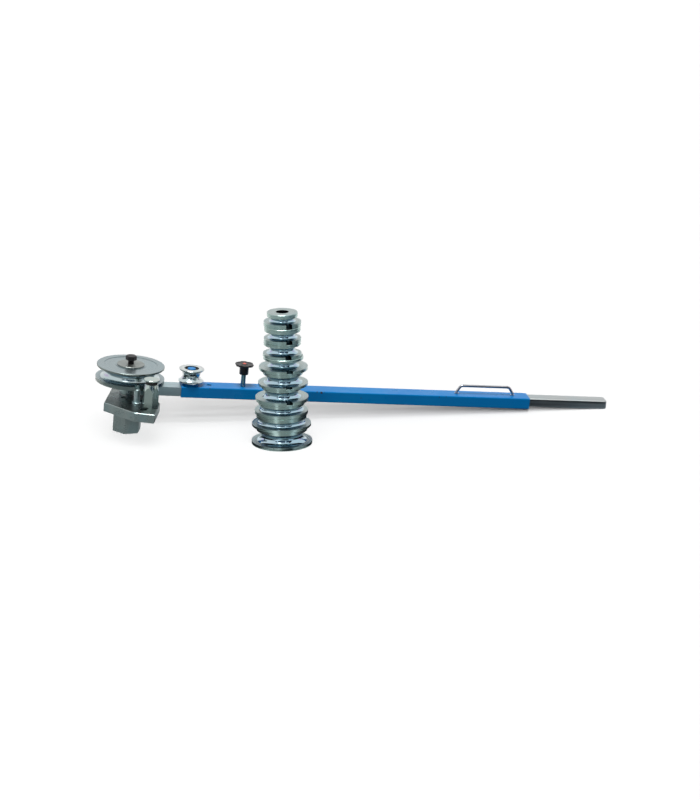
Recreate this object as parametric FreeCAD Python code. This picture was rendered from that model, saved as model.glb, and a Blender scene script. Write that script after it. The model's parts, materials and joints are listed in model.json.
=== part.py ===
import FreeCAD, Part
import math
import os

# A bench pipe bender: a head held in a vise by a hexagonal stub, a lever that swings round the head
# with a sliding sleeve and a grooved roller, one bending former on the head, and the set of spare
# formers standing beside it.
#
# Everything on the tool is drawn upright: the stub's end face lies at the origin, Z runs up the head's
# axis and X runs along the lever. The finished tool then leans over by itself, because it rests on two
# corners of its stub and on the far end of its lever. The spare formers stand upright on that floor.

V = FreeCAD.Vector
ORIGIN = V(0, 0, 0)
UP = V(0, 0, 1)

# How far a cutting shape runs past what it cuts, and how near two heights count as one
OVERRUN = 1.0
TOLERANCE = 0.01

# Vise stub and base plate
STUB_FLATS = 51.0
STUB_LENGTH = 58.0
STUB_CHAMFER = 2.0
PLATE_TURN = -14.0
PLATE_THICKNESS = 18.0
PLATE_RIGHT = 68.0
PLATE_LEFT = 37.5
PLATE_FRONT = 119.0
PLATE_BACK = 42.0
PLATE_CUT_WIDTH = 66.0
PLATE_CUT_DEPTH = 45.0
PLATE_BACK_CUT_WIDTH = 43.0
PLATE_BACK_CUT_DEPTH = 85.0
PLATE_EDGE = 0.8

# Centre post, with its tail in the stub, a journal for the lever and a spigot for the former
TAIL_RADIUS = 12.0
TAIL_DEPTH = 35.0
TAIL_END_GAP = 0.3
JOURNAL_RADIUS = 14.0
SPIGOT_RADIUS = 12.5
SPIGOT_STEP = 1.0
POST_EDGE = 1.0
PRESS_CLEARANCE = 0.02
RUNNING_CLEARANCE = 0.05

# Washers between plate, lever and former
THRUST_WASHER_RADIUS = 18.5
THRUST_WASHER_THICKNESS = 1.0
SEAT_WASHER_RADIUS = 24.0
SEAT_WASHER_THICKNESS = 1.5
WASHER_CLEARANCE = 0.2

# Lever hub, its bush and the bar
HUB_RADIUS = 19.0
HUB_LENGTH = 23.5
HUB_END_PLAY = 0.5
HUB_EDGE = 1.0
BUSH_WALL = 2.0
BAR_WIDTH = 34.0
BAR_THICKNESS = 18.0
BAR_RISE = 2.0
BAR_END = 335.0
BAR_EDGE = 1.0

# Sleeve tube that slides on the bar
TUBE_WIDTH = 40.0
TUBE_HEIGHT = 22.0
TUBE_WALL = 1.5
TUBE_CORNER = 2.0
TUBE_INNER_CORNER = 0.5
TUBE_LENGTH = 705.0

# Roller on the sleeve
ROLLER_REACH = 120.5
ROLLER_SETBACK = 20.0
ROLLER_RADIUS = 24.75
ROLLER_NECK_RADIUS = 17.4
ROLLER_HEIGHT = 27.0
ROLLER_GROOVE_RADIUS = 11.8
ROLLER_EDGE = 0.6
ROLLER_SAG = 2.0
ROLLER_FLOAT = 3.0
STUD_RADIUS = 8.0
STUD_FOOT_RADIUS = 15.0
STUD_SPIGOT_RADIUS = 6.0
STUD_EDGE = 0.8
STUD_END = 4.0
ROLLER_BUSH_WALL = 2.5
ROLLER_RECESS_RADIUS = 14.5
ROLLER_RECESS_DEPTH = 8.0
CIRCLIP_RADIUS = 11.5
CIRCLIP_THICKNESS = 1.2
CIRCLIP_GROOVE_DEPTH = 0.7
CIRCLIP_GAP = 5.0
CIRCLIP_GAP_TURN = 60.0

# Lock pin through sleeve and bar
LOCK_REACH = 104.0
INDEX_PITCH = 25.0
INDEX_STEPS_IN = 1
INDEX_STEPS_OUT = 2
SPARE_HOLE_REACH = 37.0
SHANK_RADIUS = 4.7
SHANK_EDGE = 0.8
PIN_HOLE_CLEARANCE = 0.5
PIN_TIP_CLEARANCE = 0.3
PIN_SEAT_GAP = 0.3
PIN_TIP_DROP = 4.4
SHANK_ROOT = 6.0
BALL_RADIUS = 1.25
BALL_PROUD = 0.35
BALL_RISE = 3.0
BALL_CLEARANCE = 0.05
SPINDLE_RADIUS = 2.0
SPINDLE_NECK_RADIUS = 1.3
SPINDLE_NECK_LENGTH = 2.2
SPINDLE_CLEARANCE = 0.1
SPINDLE_FLOOR = 0.8
GRIP_NECK_RADIUS = 9.0
GRIP_NECK_LENGTH = 15.0
GRIP_CAP_RADIUS = 18.5
GRIP_CAP_THICKNESS = 6.5
GRIP_CAP_CONE = 3.0
GRIP_CAP_EDGE = 1.6
GRIP_LOBES = 6
GRIP_LOBE_RADIUS = 6.0
GRIP_LOBE_BITE = 1.5
BUTTON_RADIUS = 3.3
BUTTON_SKIRT_RADIUS = 3.9
BUTTON_SKIRT_LENGTH = 2.8
BUTTON_PROUD = 0.8
BUTTON_STROKE = 2.0
BUTTON_CLEARANCE = 0.1
BUTTON_EDGE = 0.6
CHAMBER_RADIUS = 4.7
CHAMBER_LIP = 4.0
SPRING_WIRE_RADIUS = 0.4
SPRING_RADIUS = 3.1
SPRING_TURNS = 4
SPRING_END_GAP = 0.1

# Flat steel grip bar in the far end of the sleeve
GRIP_BAR_WIDTH = 30.0
GRIP_BAR_THICKNESS = 16.0
GRIP_BAR_REACH = 162.0
GRIP_BAR_CLEARANCE = 2.0
GRIP_BAR_CORNER = 6.0
GRIP_BAR_EDGE = 1.0

# Wire carry handle on top of the sleeve
HANDLE_INSET = 147.5
HANDLE_SPAN = 115.0
HANDLE_LEAN = 8.0
HANDLE_RISE = 16.5
HANDLE_WIRE_RADIUS = 2.75
HANDLE_BEND = 7.0
HANDLE_TIGHTEST_BEND = 1.1
HANDLE_COLLAR_RADIUS = 4.6
HANDLE_COLLAR_HEIGHT = 1.6
HANDLE_NUT_FLATS = 8.0
HANDLE_NUT_HEIGHT = 3.6
HANDLE_THREAD_RADIUS = 2.2
HANDLE_THREAD_END = 0.4
HANDLE_HOLE_CLEARANCE = 0.2

# Drive pin that keeps the former from turning, and the plate's other holes for it
PIN_RADIUS = 6.0
PIN_COLLAR_RADIUS = 9.0
PIN_COLLAR_HEIGHT = 3.0
PIN_TAIL_RADIUS = 5.0
PIN_TAIL_LENGTH = 12.0
PIN_EDGE = 0.8
PIN_ENGAGEMENT = 2.2
PIN_ANGLE = -81.5
PIN_CIRCLE_LARGE = 62.0
PIN_CIRCLE_MIDDLE = 43.0
PIN_CIRCLE_SMALL = 31.0
PIN_CIRCLE_TURN = 17.0
NOTCH_CLEARANCE = 0.2

# Hexagonal stop post that holds the pipe's free end
STOP_ACROSS = 53.0
STOP_FORWARD = 76.0
STOP_FLATS = 28.0
STOP_TURN = 4.3
STOP_HEX_HEIGHT = 35.0
STOP_CONE_HEIGHT = 13.0
STOP_CORNER_DROP = 4.0
STOP_CONE_TOP_RADIUS = 12.5
STOP_NECK_RADIUS = 11.5
STOP_NECK_HEIGHT = 7.0
STOP_CAP_RADIUS = 15.5
STOP_CAP_HEIGHT = 3.0
STOP_THREAD_RADIUS = 7.0
STOP_THREAD_LENGTH = 14.0
STOP_EDGE = 0.6
STOP_SPARE_ACROSS = 42.5
STOP_SPARE_FORWARD = 92.0

# Bending formers: a base flange, the groove and a lip above it, each with its own radius
FORMER_LAND = 1.0
FORMER_EDGE = 0.5
MOUNTED_FORMER = dict(pipe=22.0, neck=50.5, upper=66.5, lower=67.7, lip=3.5, base=7.5)
MOUNTED_RELIEF_INNER = 30.0
MOUNTED_RELIEF_OUTER = 53.0
MOUNTED_RELIEF_DEPTH = 0.6

# Spare formers from the top of the stack down: pipe size, radius at the groove's bottom, radii of the
# upper and lower flange, their thicknesses, and how far the former stands aside of the stack's middle
SPARE_FORMERS = (
    dict(pipe=10.0, neck=22.2, upper=29.6, lower=36.1, lip=8.0, base=9.0, aside=2.7),
    dict(pipe=14.0, neck=23.9, upper=35.0, lower=36.0, lip=9.2, base=7.6, aside=2.5),
    dict(pipe=17.0, neck=24.2, upper=35.8, lower=37.4, lip=6.3, base=5.6, aside=2.1),
    dict(pipe=15.0, neck=25.2, upper=38.8, lower=47.2, lip=5.3, base=6.4, aside=3.9),
    dict(pipe=18.0, neck=31.3, upper=38.8, lower=48.4, lip=9.0, base=5.2, aside=3.2),
    dict(pipe=18.0, neck=32.0, upper=38.5, lower=51.4, lip=6.6, base=7.2, aside=0.5),
    dict(pipe=12.0, neck=39.0, upper=45.0, lower=51.8, lip=7.9, base=7.0, aside=-0.3),
    dict(pipe=12.0, neck=42.0, upper=48.9, lower=57.5, lip=7.4, base=5.0, aside=-0.5),
    dict(pipe=22.0, neck=40.0, upper=49.6, lower=59.1, lip=9.1, base=6.4, aside=0.3),
)
STACK_X = 291.8
STACK_Y = -124.65
STACK_SWAY = 1.0
STACK_NOTCH_ANGLE = -80.0
STACK_NOTCH_SWAY = 4.0
STACK_FRONT_NOTCHES = 6

# Clamp washer and bolt, which stands a few threads out of the post
CLAMP_WASHER_RADIUS = 27.0
CLAMP_WASHER_THICKNESS = 2.0
CLAMP_WASHER_EDGE = 0.6
BOLT_RADIUS = 6.0
BOLT_FLATS = 19.0
BOLT_HEAD_HEIGHT = 8.5
BOLT_CORNER_DROP = 2.5
BOLT_FACE_INSET = 0.5
BOLT_TURN = 22.0
BOLT_STAND = 8.0
BOLT_LENGTH = 45.0
BOLT_TIP = 1.0
BOLT_HOLE_SPARE = 3.0
BOLT_CLEARANCE = 0.05


def groove_depth(sizes):
    """A former's groove is half the pipe deep, where its upper flange leaves room for that."""
    return min(sizes["pipe"] / 2, sizes["upper"] - FORMER_LAND - sizes["neck"])


def groove_half(sizes):
    """Half of the height at which the groove opens."""
    radius = sizes["pipe"] / 2
    return math.sqrt(radius ** 2 - (radius - groove_depth(sizes)) ** 2)


def former_height(sizes):
    return sizes["base"] + 2 * groove_half(sizes) + sizes["lip"]


# Heights along the head's axis
plate_bottom = STUB_LENGTH
plate_top = plate_bottom + PLATE_THICKNESS
hub_bottom = plate_top + THRUST_WASHER_THICKNESS
hub_top = hub_bottom + HUB_LENGTH
journal_top = hub_top + HUB_END_PLAY
seat_level = journal_top + SEAT_WASHER_THICKNESS
groove_level = seat_level + MOUNTED_FORMER["base"] + groove_half(MOUNTED_FORMER)
former_top = seat_level + former_height(MOUNTED_FORMER)
bar_bottom = hub_bottom + BAR_RISE
bar_top = bar_bottom + BAR_THICKNESS
bar_middle = (bar_bottom + bar_top) / 2
tube_bottom = bar_middle - TUBE_HEIGHT / 2
tube_top = bar_middle + TUBE_HEIGHT / 2
tube_ceiling = tube_top - TUBE_WALL
grip_bottom = tube_ceiling - GRIP_BAR_THICKNESS

# Places along the lever
tube_start = ROLLER_REACH - ROLLER_SETBACK
tube_end = tube_start + TUBE_LENGTH
lock_x = ROLLER_REACH + LOCK_REACH
spare_hole_x = ROLLER_REACH + SPARE_HOLE_REACH
lever_end = tube_end + GRIP_BAR_REACH
pin_hole_radius = SHANK_RADIUS + PIN_HOLE_CLEARANCE


def polar(radius, degrees):
    """A point in the plane of the plate, by radius and angle from the lever's direction."""
    angle = math.radians(degrees)
    return radius * math.cos(angle), radius * math.sin(angle)


def plate_point(across, back):
    """A point of the turned base plate, across it and towards its back."""
    angle = math.radians(PLATE_TURN)
    x = across * math.cos(angle) - back * math.sin(angle)
    y = across * math.sin(angle) + back * math.cos(angle)
    return x, y


def cylinder(radius, bottom, top, x=0.0, y=0.0):
    return Part.makeCylinder(radius, top - bottom, V(x, y, bottom))


def drill(shape, radius, bottom, top, x=0.0, y=0.0):
    """Cut an upright round hole that breaks through both levels."""
    return shape.cut(cylinder(radius, bottom - OVERRUN, top + OVERRUN, x, y))


def ring(outer, inner, bottom, top, x=0.0, y=0.0):
    return drill(cylinder(outer, bottom, top, x, y), inner, bottom, top, x, y)


def block(x0, x1, y0, y1, bottom, top):
    return Part.makeBox(x1 - x0, y1 - y0, top - bottom, V(x0, y0, bottom))


def hexagon_corner(flats):
    """A hexagon's radius at its corners, from its width across flats."""
    return flats / math.sqrt(3)


def hexagon(flats, bottom, top, x=0.0, y=0.0, turn=0.0):
    """A hexagonal bar with a flat facing the turn angle."""
    points = []
    for index in range(6):
        dx, dy = polar(hexagon_corner(flats), turn + 30 + 60 * index)
        points.append(V(x + dx, y + dy, bottom))
    face = Part.Face(Part.makePolygon(points + points[:1]))
    return face.extrude(UP * (top - bottom))


def broken_edge(wanted, room):
    """The size of an edge break, kept to a third of the room that there is for it."""
    return min(wanted, room / 3)


def turned(profile, x=0.0, y=0.0, bottom=0.0):
    """Turn a closed outline of (radius, height) points and arcs round an upright axis.

    An arc is written as a mid point and an end point in one tuple.
    """
    edges = []
    start = V(profile[0][0], 0, profile[0][1])
    first = start
    for step in profile[1:]:
        if len(step) == 4:
            middle = V(step[0], 0, step[1])
            end = V(step[2], 0, step[3])
            edges.append(Part.Arc(start, middle, end).toShape())
        else:
            end = V(step[0], 0, step[1])
            edges.append(Part.makeLine(start, end))
        start = end
    edges.append(Part.makeLine(start, first))
    face = Part.Face(Part.Wire(edges))
    solid = face.revolve(ORIGIN, UP, 360)
    solid.translate(V(x, y, bottom))
    return solid


def edges_at(shape, level):
    """The edges that lie flat at one height."""
    found = []
    for edge in shape.Edges:
        box = edge.BoundBox
        if abs(box.ZMin - level) < TOLERANCE and abs(box.ZMax - level) < TOLERANCE:
            found.append(edge)
    return found


def upright_edges(shape):
    return [edge for edge in shape.Edges if edge.BoundBox.XLength + edge.BoundBox.YLength < TOLERANCE]


def build_vise_stub():
    stub = hexagon(STUB_FLATS, 0, STUB_LENGTH, turn=PLATE_TURN)
    stub = stub.makeChamfer(STUB_CHAMFER, edges_at(stub, 0))
    bore = cylinder(TAIL_RADIUS + PRESS_CLEARANCE, STUB_LENGTH - TAIL_DEPTH, STUB_LENGTH + OVERRUN)
    return stub.cut(bore)


def plate_outline():
    corners = (
        (-PLATE_LEFT, -PLATE_FRONT + PLATE_CUT_DEPTH),
        (-PLATE_LEFT + PLATE_CUT_WIDTH, -PLATE_FRONT),
        (PLATE_RIGHT, -PLATE_FRONT),
        (PLATE_RIGHT, PLATE_BACK - PLATE_BACK_CUT_DEPTH),
        (PLATE_RIGHT - PLATE_BACK_CUT_WIDTH, PLATE_BACK),
        (-PLATE_LEFT, PLATE_BACK),
    )
    points = []
    for across, back in corners:
        x, y = plate_point(across, back)
        points.append(V(x, y, plate_bottom))
    return Part.Face(Part.makePolygon(points + points[:1]))


def pin_places():
    """The drive pin's own hole and the two spare ones nearer the axis, each turned a little on."""
    circles = (PIN_CIRCLE_LARGE, PIN_CIRCLE_MIDDLE, PIN_CIRCLE_SMALL)
    return [polar(circle, PIN_ANGLE - PIN_CIRCLE_TURN * index) for index, circle in enumerate(circles)]


def build_base_plate():
    plate = plate_outline().extrude(UP * PLATE_THICKNESS)
    rims = edges_at(plate, plate_top) + edges_at(plate, plate_bottom)
    plate = plate.makeChamfer(PLATE_EDGE, rims)
    plate = drill(plate, TAIL_RADIUS + PRESS_CLEARANCE, plate_bottom, plate_top)
    for x, y in pin_places():
        plate = drill(plate, PIN_TAIL_RADIUS + PRESS_CLEARANCE, plate_bottom, plate_top, x, y)
    for across, forward in ((STOP_ACROSS, STOP_FORWARD), (STOP_SPARE_ACROSS, STOP_SPARE_FORWARD)):
        x, y = plate_point(across, -forward)
        plate = drill(plate, STOP_THREAD_RADIUS + PRESS_CLEARANCE, plate_bottom, plate_top, x, y)
    return plate


def build_centre_post():
    spigot_top = former_top - SPIGOT_STEP
    tail_end = plate_bottom - TAIL_DEPTH + TAIL_END_GAP
    hole = BOLT_RADIUS + BOLT_CLEARANCE
    hole_floor = bolt_seat() - BOLT_LENGTH - BOLT_HOLE_SPARE
    return turned((
        (0, tail_end),
        (TAIL_RADIUS - POST_EDGE, tail_end),
        (TAIL_RADIUS, tail_end + POST_EDGE),
        (TAIL_RADIUS, plate_top),
        (JOURNAL_RADIUS, plate_top),
        (JOURNAL_RADIUS, journal_top),
        (SPIGOT_RADIUS, journal_top),
        (SPIGOT_RADIUS, spigot_top - POST_EDGE),
        (SPIGOT_RADIUS - POST_EDGE, spigot_top),
        (hole, spigot_top),
        (hole, hole_floor),
        (0, hole_floor),
    ))


def build_thrust_washer():
    inner = JOURNAL_RADIUS + WASHER_CLEARANCE
    return ring(THRUST_WASHER_RADIUS, inner, plate_top, hub_bottom)


def build_seat_washer():
    inner = SPIGOT_RADIUS + WASHER_CLEARANCE
    return ring(SEAT_WASHER_RADIUS, inner, journal_top, seat_level)


def build_hub():
    inner = JOURNAL_RADIUS + RUNNING_CLEARANCE + BUSH_WALL + PRESS_CLEARANCE
    hub = ring(HUB_RADIUS, inner, hub_bottom, hub_top)
    rims = [edge for edge in hub.Edges if abs(edge.BoundBox.XMax - HUB_RADIUS) < TOLERANCE and edge.Closed]
    return hub.makeChamfer(broken_edge(HUB_EDGE, HUB_RADIUS - inner), rims)


def build_hub_bush():
    inner = JOURNAL_RADIUS + RUNNING_CLEARANCE
    return ring(inner + BUSH_WALL, inner, hub_bottom, hub_top)


def build_lever_bar():
    bar = block(0, BAR_END, -BAR_WIDTH / 2, BAR_WIDTH / 2, bar_bottom, bar_top)
    far = [edge for edge in bar.Edges if edge.BoundBox.XMin > BAR_END - TOLERANCE]
    bar = bar.makeChamfer(BAR_EDGE, far)
    bar = drill(bar, HUB_RADIUS, bar_bottom, bar_top)
    for step in range(-INDEX_STEPS_IN, INDEX_STEPS_OUT + 1):
        bar = drill(bar, pin_hole_radius, bar_bottom, bar_top, lock_x + step * INDEX_PITCH)
    return bar


def tube_section(wall_inset, corner):
    """The rectangular section, drawn in by a wall and with rounded corners, at the sleeve's start."""
    half_width = TUBE_WIDTH / 2 - wall_inset
    bottom = tube_bottom + wall_inset
    top = tube_top - wall_inset
    solid = block(tube_start, tube_end, -half_width, half_width, bottom, top)
    along = [edge for edge in solid.Edges if edge.BoundBox.YLength + edge.BoundBox.ZLength < TOLERANCE]
    return solid.makeFillet(corner, along)


def build_sleeve_tube():
    corner = broken_edge(TUBE_CORNER, TUBE_HEIGHT)
    tube = tube_section(0, corner)
    tube = tube.cut(tube_section(TUBE_WALL, max(corner - TUBE_WALL, TUBE_INNER_CORNER)))
    for x in (lock_x, spare_hole_x):
        tube = drill(tube, pin_hole_radius, tube_bottom, tube_top, x)
    tube = drill(tube, STUD_SPIGOT_RADIUS + PRESS_CLEARANCE, tube_ceiling, tube_top, ROLLER_REACH)
    for x in handle_feet():
        tube = drill(tube, HANDLE_WIRE_RADIUS + HANDLE_HOLE_CLEARANCE, tube_ceiling, tube_top, x)
    return tube


def build_grip_bar():
    """The bar is welded into the sleeve's mouth and ends just short of the handle's last nut."""
    start = handle_feet()[1] + hexagon_corner(HANDLE_NUT_FLATS) + GRIP_BAR_CLEARANCE
    half = GRIP_BAR_WIDTH / 2
    bar = block(start, lever_end, -half, half, grip_bottom, tube_ceiling)
    corners = [edge for edge in upright_edges(bar) if edge.BoundBox.XMin > lever_end - TOLERANCE]
    bar = bar.makeFillet(GRIP_BAR_CORNER, corners)
    return bar.makeChamfer(GRIP_BAR_EDGE, edges_at(bar, tube_ceiling))


def handle_feet():
    last = tube_end - HANDLE_INSET + HANDLE_SPAN
    return last - HANDLE_SPAN, last


def build_carry_handle():
    """A wire bow: upright feet through the sleeve, then legs that lean in to the straight grip."""
    left, right = handle_feet()
    feet_bottom = tube_ceiling - HANDLE_NUT_HEIGHT - HANDLE_THREAD_END
    collar_top = tube_top + HANDLE_COLLAR_HEIGHT
    grip_level = tube_top + HANDLE_RISE
    handle = wire_bow(left, right, collar_top, grip_level)
    for x in (left, right):
        handle = handle.fuse(cylinder(HANDLE_WIRE_RADIUS, tube_ceiling, collar_top, x))
        handle = handle.fuse(cylinder(HANDLE_THREAD_RADIUS, feet_bottom, tube_ceiling, x))
        handle = handle.fuse(cylinder(HANDLE_COLLAR_RADIUS, tube_top, collar_top, x))
    return handle.removeSplitter()


def wire_bow(left, right, foot_level, grip_level):
    stem = foot_level + HANDLE_WIRE_RADIUS
    corners = [
        V(left, 0, foot_level),
        V(left, 0, stem),
        V(left + HANDLE_LEAN, 0, grip_level),
        V(right - HANDLE_LEAN, 0, grip_level),
        V(right, 0, stem),
        V(right, 0, foot_level),
    ]
    tightest = HANDLE_WIRE_RADIUS * HANDLE_TIGHTEST_BEND
    path = rounded_path(corners, (tightest, HANDLE_BEND, HANDLE_BEND, tightest))
    section = Part.Wire(Part.makeCircle(HANDLE_WIRE_RADIUS, corners[0], UP))
    return path.makePipeShell([section], True, True)


def rounded_path(corners, bends):
    """Straight runs joined by arcs, each arc tangent to both of its runs."""
    edges = []
    start = corners[0]
    for index, bend in enumerate(bends):
        corner = corners[index + 1]
        come = corner.sub(corners[index])
        go = corners[index + 2].sub(corner)
        come.normalize()
        go.normalize()
        half_turn = come.getAngle(go) / 2
        back = bend * math.tan(half_turn)
        arc_start = corner.sub(come * back)
        arc_end = corner.add(go * back)
        inward = go.sub(come)
        inward.normalize()
        centre = corner.add(inward * (bend / math.cos(half_turn)))
        arc_middle = centre.sub(inward * bend)
        edges.append(Part.makeLine(start, arc_start))
        edges.append(Part.Arc(arc_start, arc_middle, arc_end).toShape())
        start = arc_end
    edges.append(Part.makeLine(start, corners[-1]))
    return Part.Wire(edges)


def build_handle_nuts():
    nuts = []
    for x in handle_feet():
        bottom = tube_ceiling - HANDLE_NUT_HEIGHT
        nut = hexagon(HANDLE_NUT_FLATS, bottom, tube_ceiling, x)
        nuts.append(drill(nut, HANDLE_THREAD_RADIUS + PRESS_CLEARANCE, bottom, tube_ceiling, x))
    return Part.makeCompound(nuts)


def roller_bottom():
    """The roller has settled on its stud's foot, a little below the former's groove."""
    return groove_level - ROLLER_SAG - ROLLER_HEIGHT / 2


def roller_floor():
    """The bottom of the roller's top recess, which is also the top of its bush."""
    return roller_bottom() + ROLLER_HEIGHT - ROLLER_RECESS_DEPTH


def build_roller_stud():
    """The stud stands on a broad foot, with a spigot in the sleeve's top wall and a circlip groove."""
    clip_bottom = roller_floor() + ROLLER_FLOAT
    clip_top = clip_bottom + CIRCLIP_THICKNESS
    groove = STUD_RADIUS - CIRCLIP_GROOVE_DEPTH
    top = clip_top + STUD_END
    foot_top = roller_bottom()
    return turned((
        (0, tube_ceiling),
        (STUD_SPIGOT_RADIUS, tube_ceiling),
        (STUD_SPIGOT_RADIUS, tube_top),
        (STUD_FOOT_RADIUS, tube_top),
        (STUD_FOOT_RADIUS, foot_top - STUD_EDGE),
        (STUD_FOOT_RADIUS - STUD_EDGE, foot_top),
        (STUD_RADIUS, foot_top),
        (STUD_RADIUS, clip_bottom),
        (groove, clip_bottom),
        (groove, clip_top),
        (STUD_RADIUS, clip_top),
        (STUD_RADIUS, top - STUD_EDGE),
        (STUD_RADIUS - STUD_EDGE, top),
        (0, top),
    ), x=ROLLER_REACH)


def build_roller_bush():
    inner = STUD_RADIUS + RUNNING_CLEARANCE
    return ring(inner + ROLLER_BUSH_WALL, inner, roller_bottom(), roller_floor(), ROLLER_REACH)


def build_counter_roller():
    """The roller's groove is a shallow arc of the largest pipe, between two thin flanges."""
    bottom = roller_bottom()
    top = bottom + ROLLER_HEIGHT
    middle = (bottom + top) / 2
    depth = ROLLER_RADIUS - ROLLER_NECK_RADIUS
    rise = math.sqrt(ROLLER_GROOVE_RADIUS ** 2 - (ROLLER_GROOVE_RADIUS - depth) ** 2)
    bore = STUD_RADIUS + RUNNING_CLEARANCE + ROLLER_BUSH_WALL + PRESS_CLEARANCE
    floor = roller_floor()
    return turned((
        (bore, bottom),
        (ROLLER_RADIUS - ROLLER_EDGE, bottom),
        (ROLLER_RADIUS, bottom + ROLLER_EDGE),
        (ROLLER_RADIUS, middle - rise),
        (ROLLER_NECK_RADIUS, middle, ROLLER_RADIUS, middle + rise),
        (ROLLER_RADIUS, top - ROLLER_EDGE),
        (ROLLER_RADIUS - ROLLER_EDGE, top),
        (ROLLER_RECESS_RADIUS, top),
        (ROLLER_RECESS_RADIUS, floor),
        (bore, floor),
    ), x=ROLLER_REACH)


def build_roller_circlip():
    bottom = roller_floor() + ROLLER_FLOAT
    inner = STUD_RADIUS - CIRCLIP_GROOVE_DEPTH + PRESS_CLEARANCE
    top = bottom + CIRCLIP_THICKNESS - 2 * PRESS_CLEARANCE
    clip = ring(CIRCLIP_RADIUS, inner, bottom + PRESS_CLEARANCE, top, ROLLER_REACH)
    half = CIRCLIP_GAP / 2
    opening = block(0, 2 * CIRCLIP_RADIUS, -half, half, bottom - OVERRUN, top + OVERRUN)
    opening.rotate(ORIGIN, UP, CIRCLIP_GAP_TURN)
    opening.translate(V(ROLLER_REACH, 0, 0))
    return clip.cut(opening)


# Heights on the lock pin, which rests drawn up so that its tip just clears the bar
pin_length = TUBE_HEIGHT + PIN_SEAT_GAP + PIN_TIP_DROP
pin_tip = bar_top + PIN_TIP_CLEARANCE
pin_shoulder = pin_tip + pin_length
shank_top = pin_shoulder + SHANK_ROOT
cap_bottom = pin_shoulder + GRIP_NECK_LENGTH
cap_top = cap_bottom + GRIP_CAP_THICKNESS
chamber_top = cap_top - CHAMBER_LIP
skirt_bottom = chamber_top - BUTTON_SKIRT_LENGTH
spindle_floor = pin_tip + SPINDLE_FLOOR
spindle_bottom = spindle_floor + BUTTON_STROKE + SPINDLE_CLEARANCE
ball_level = pin_tip + BALL_RISE


def build_lock_shank():
    bore = SPINDLE_RADIUS + SPINDLE_CLEARANCE
    shank = turned((
        (0, pin_tip),
        (SHANK_RADIUS - SHANK_EDGE, pin_tip),
        (SHANK_RADIUS, pin_tip + SHANK_EDGE),
        (SHANK_RADIUS, shank_top),
        (bore, shank_top),
        (bore, spindle_floor),
        (0, spindle_floor),
    ), x=lock_x)
    half = SHANK_RADIUS + OVERRUN
    start = V(lock_x, -half, ball_level)
    return shank.cut(Part.makeCylinder(BALL_RADIUS + BALL_CLEARANCE, 2 * half, start, V(0, 1, 0)))


def build_lock_balls():
    away = SHANK_RADIUS + BALL_PROUD - BALL_RADIUS
    balls = []
    for side in (-1, 1):
        balls.append(Part.makeSphere(BALL_RADIUS, V(lock_x, side * away, ball_level)))
    return Part.makeCompound(balls)


def build_lock_grip():
    """A plastic knob on the shank: a round neck, and a broad cap with finger scallops round its rim."""
    rim_bottom = cap_bottom + GRIP_CAP_CONE
    edge_size = broken_edge(GRIP_CAP_EDGE, cap_top - rim_bottom)
    grip = turned((
        (SHANK_RADIUS + PRESS_CLEARANCE, pin_shoulder),
        (GRIP_NECK_RADIUS, pin_shoulder),
        (GRIP_NECK_RADIUS, cap_bottom),
        (GRIP_CAP_RADIUS, rim_bottom),
        (GRIP_CAP_RADIUS, cap_top - edge_size),
        (GRIP_CAP_RADIUS - edge_size, cap_top),
        (BUTTON_RADIUS + BUTTON_CLEARANCE, cap_top),
        (BUTTON_RADIUS + BUTTON_CLEARANCE, chamber_top),
        (CHAMBER_RADIUS, chamber_top),
        (CHAMBER_RADIUS, shank_top),
        (SHANK_RADIUS + PRESS_CLEARANCE, shank_top),
    ), x=lock_x)
    for index in range(GRIP_LOBES):
        dx, dy = polar(GRIP_CAP_RADIUS + GRIP_LOBE_RADIUS - GRIP_LOBE_BITE, 360 / GRIP_LOBES * index)
        grip = drill(grip, GRIP_LOBE_RADIUS, cap_bottom, cap_top, lock_x + dx, dy)
    return grip


def build_lock_button():
    top = cap_top + BUTTON_PROUD
    return turned((
        (0, skirt_bottom),
        (BUTTON_SKIRT_RADIUS, skirt_bottom),
        (BUTTON_SKIRT_RADIUS, chamber_top - SPINDLE_CLEARANCE),
        (BUTTON_RADIUS, chamber_top - SPINDLE_CLEARANCE),
        (BUTTON_RADIUS, top - BUTTON_EDGE),
        (BUTTON_RADIUS - BUTTON_EDGE, top),
        (0, top),
    ), x=lock_x)


def build_lock_spindle():
    """The rod that backs the balls at rest; pressed down, its thin neck lets them drop in."""
    neck_bottom = ball_level + BALL_RADIUS
    neck_top = neck_bottom + SPINDLE_NECK_LENGTH
    return turned((
        (0, spindle_bottom),
        (SPINDLE_RADIUS, spindle_bottom),
        (SPINDLE_RADIUS, neck_bottom),
        (SPINDLE_NECK_RADIUS, neck_bottom),
        (SPINDLE_NECK_RADIUS, neck_top),
        (SPINDLE_RADIUS, neck_top),
        (SPINDLE_RADIUS, skirt_bottom),
        (0, skirt_bottom),
    ), x=lock_x)


def build_lock_spring():
    low = shank_top + SPRING_WIRE_RADIUS + SPRING_END_GAP
    high = skirt_bottom - SPRING_WIRE_RADIUS - SPRING_END_GAP
    helix = Part.makeHelix((high - low) / SPRING_TURNS, high - low, SPRING_RADIUS)
    section = Part.Wire(Part.makeCircle(SPRING_WIRE_RADIUS, V(SPRING_RADIUS, 0, 0), V(0, 1, 0)))
    spring = Part.Wire(helix.Edges).makePipeShell([section], True, True)
    spring.translate(V(lock_x, 0, low))
    return spring


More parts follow.
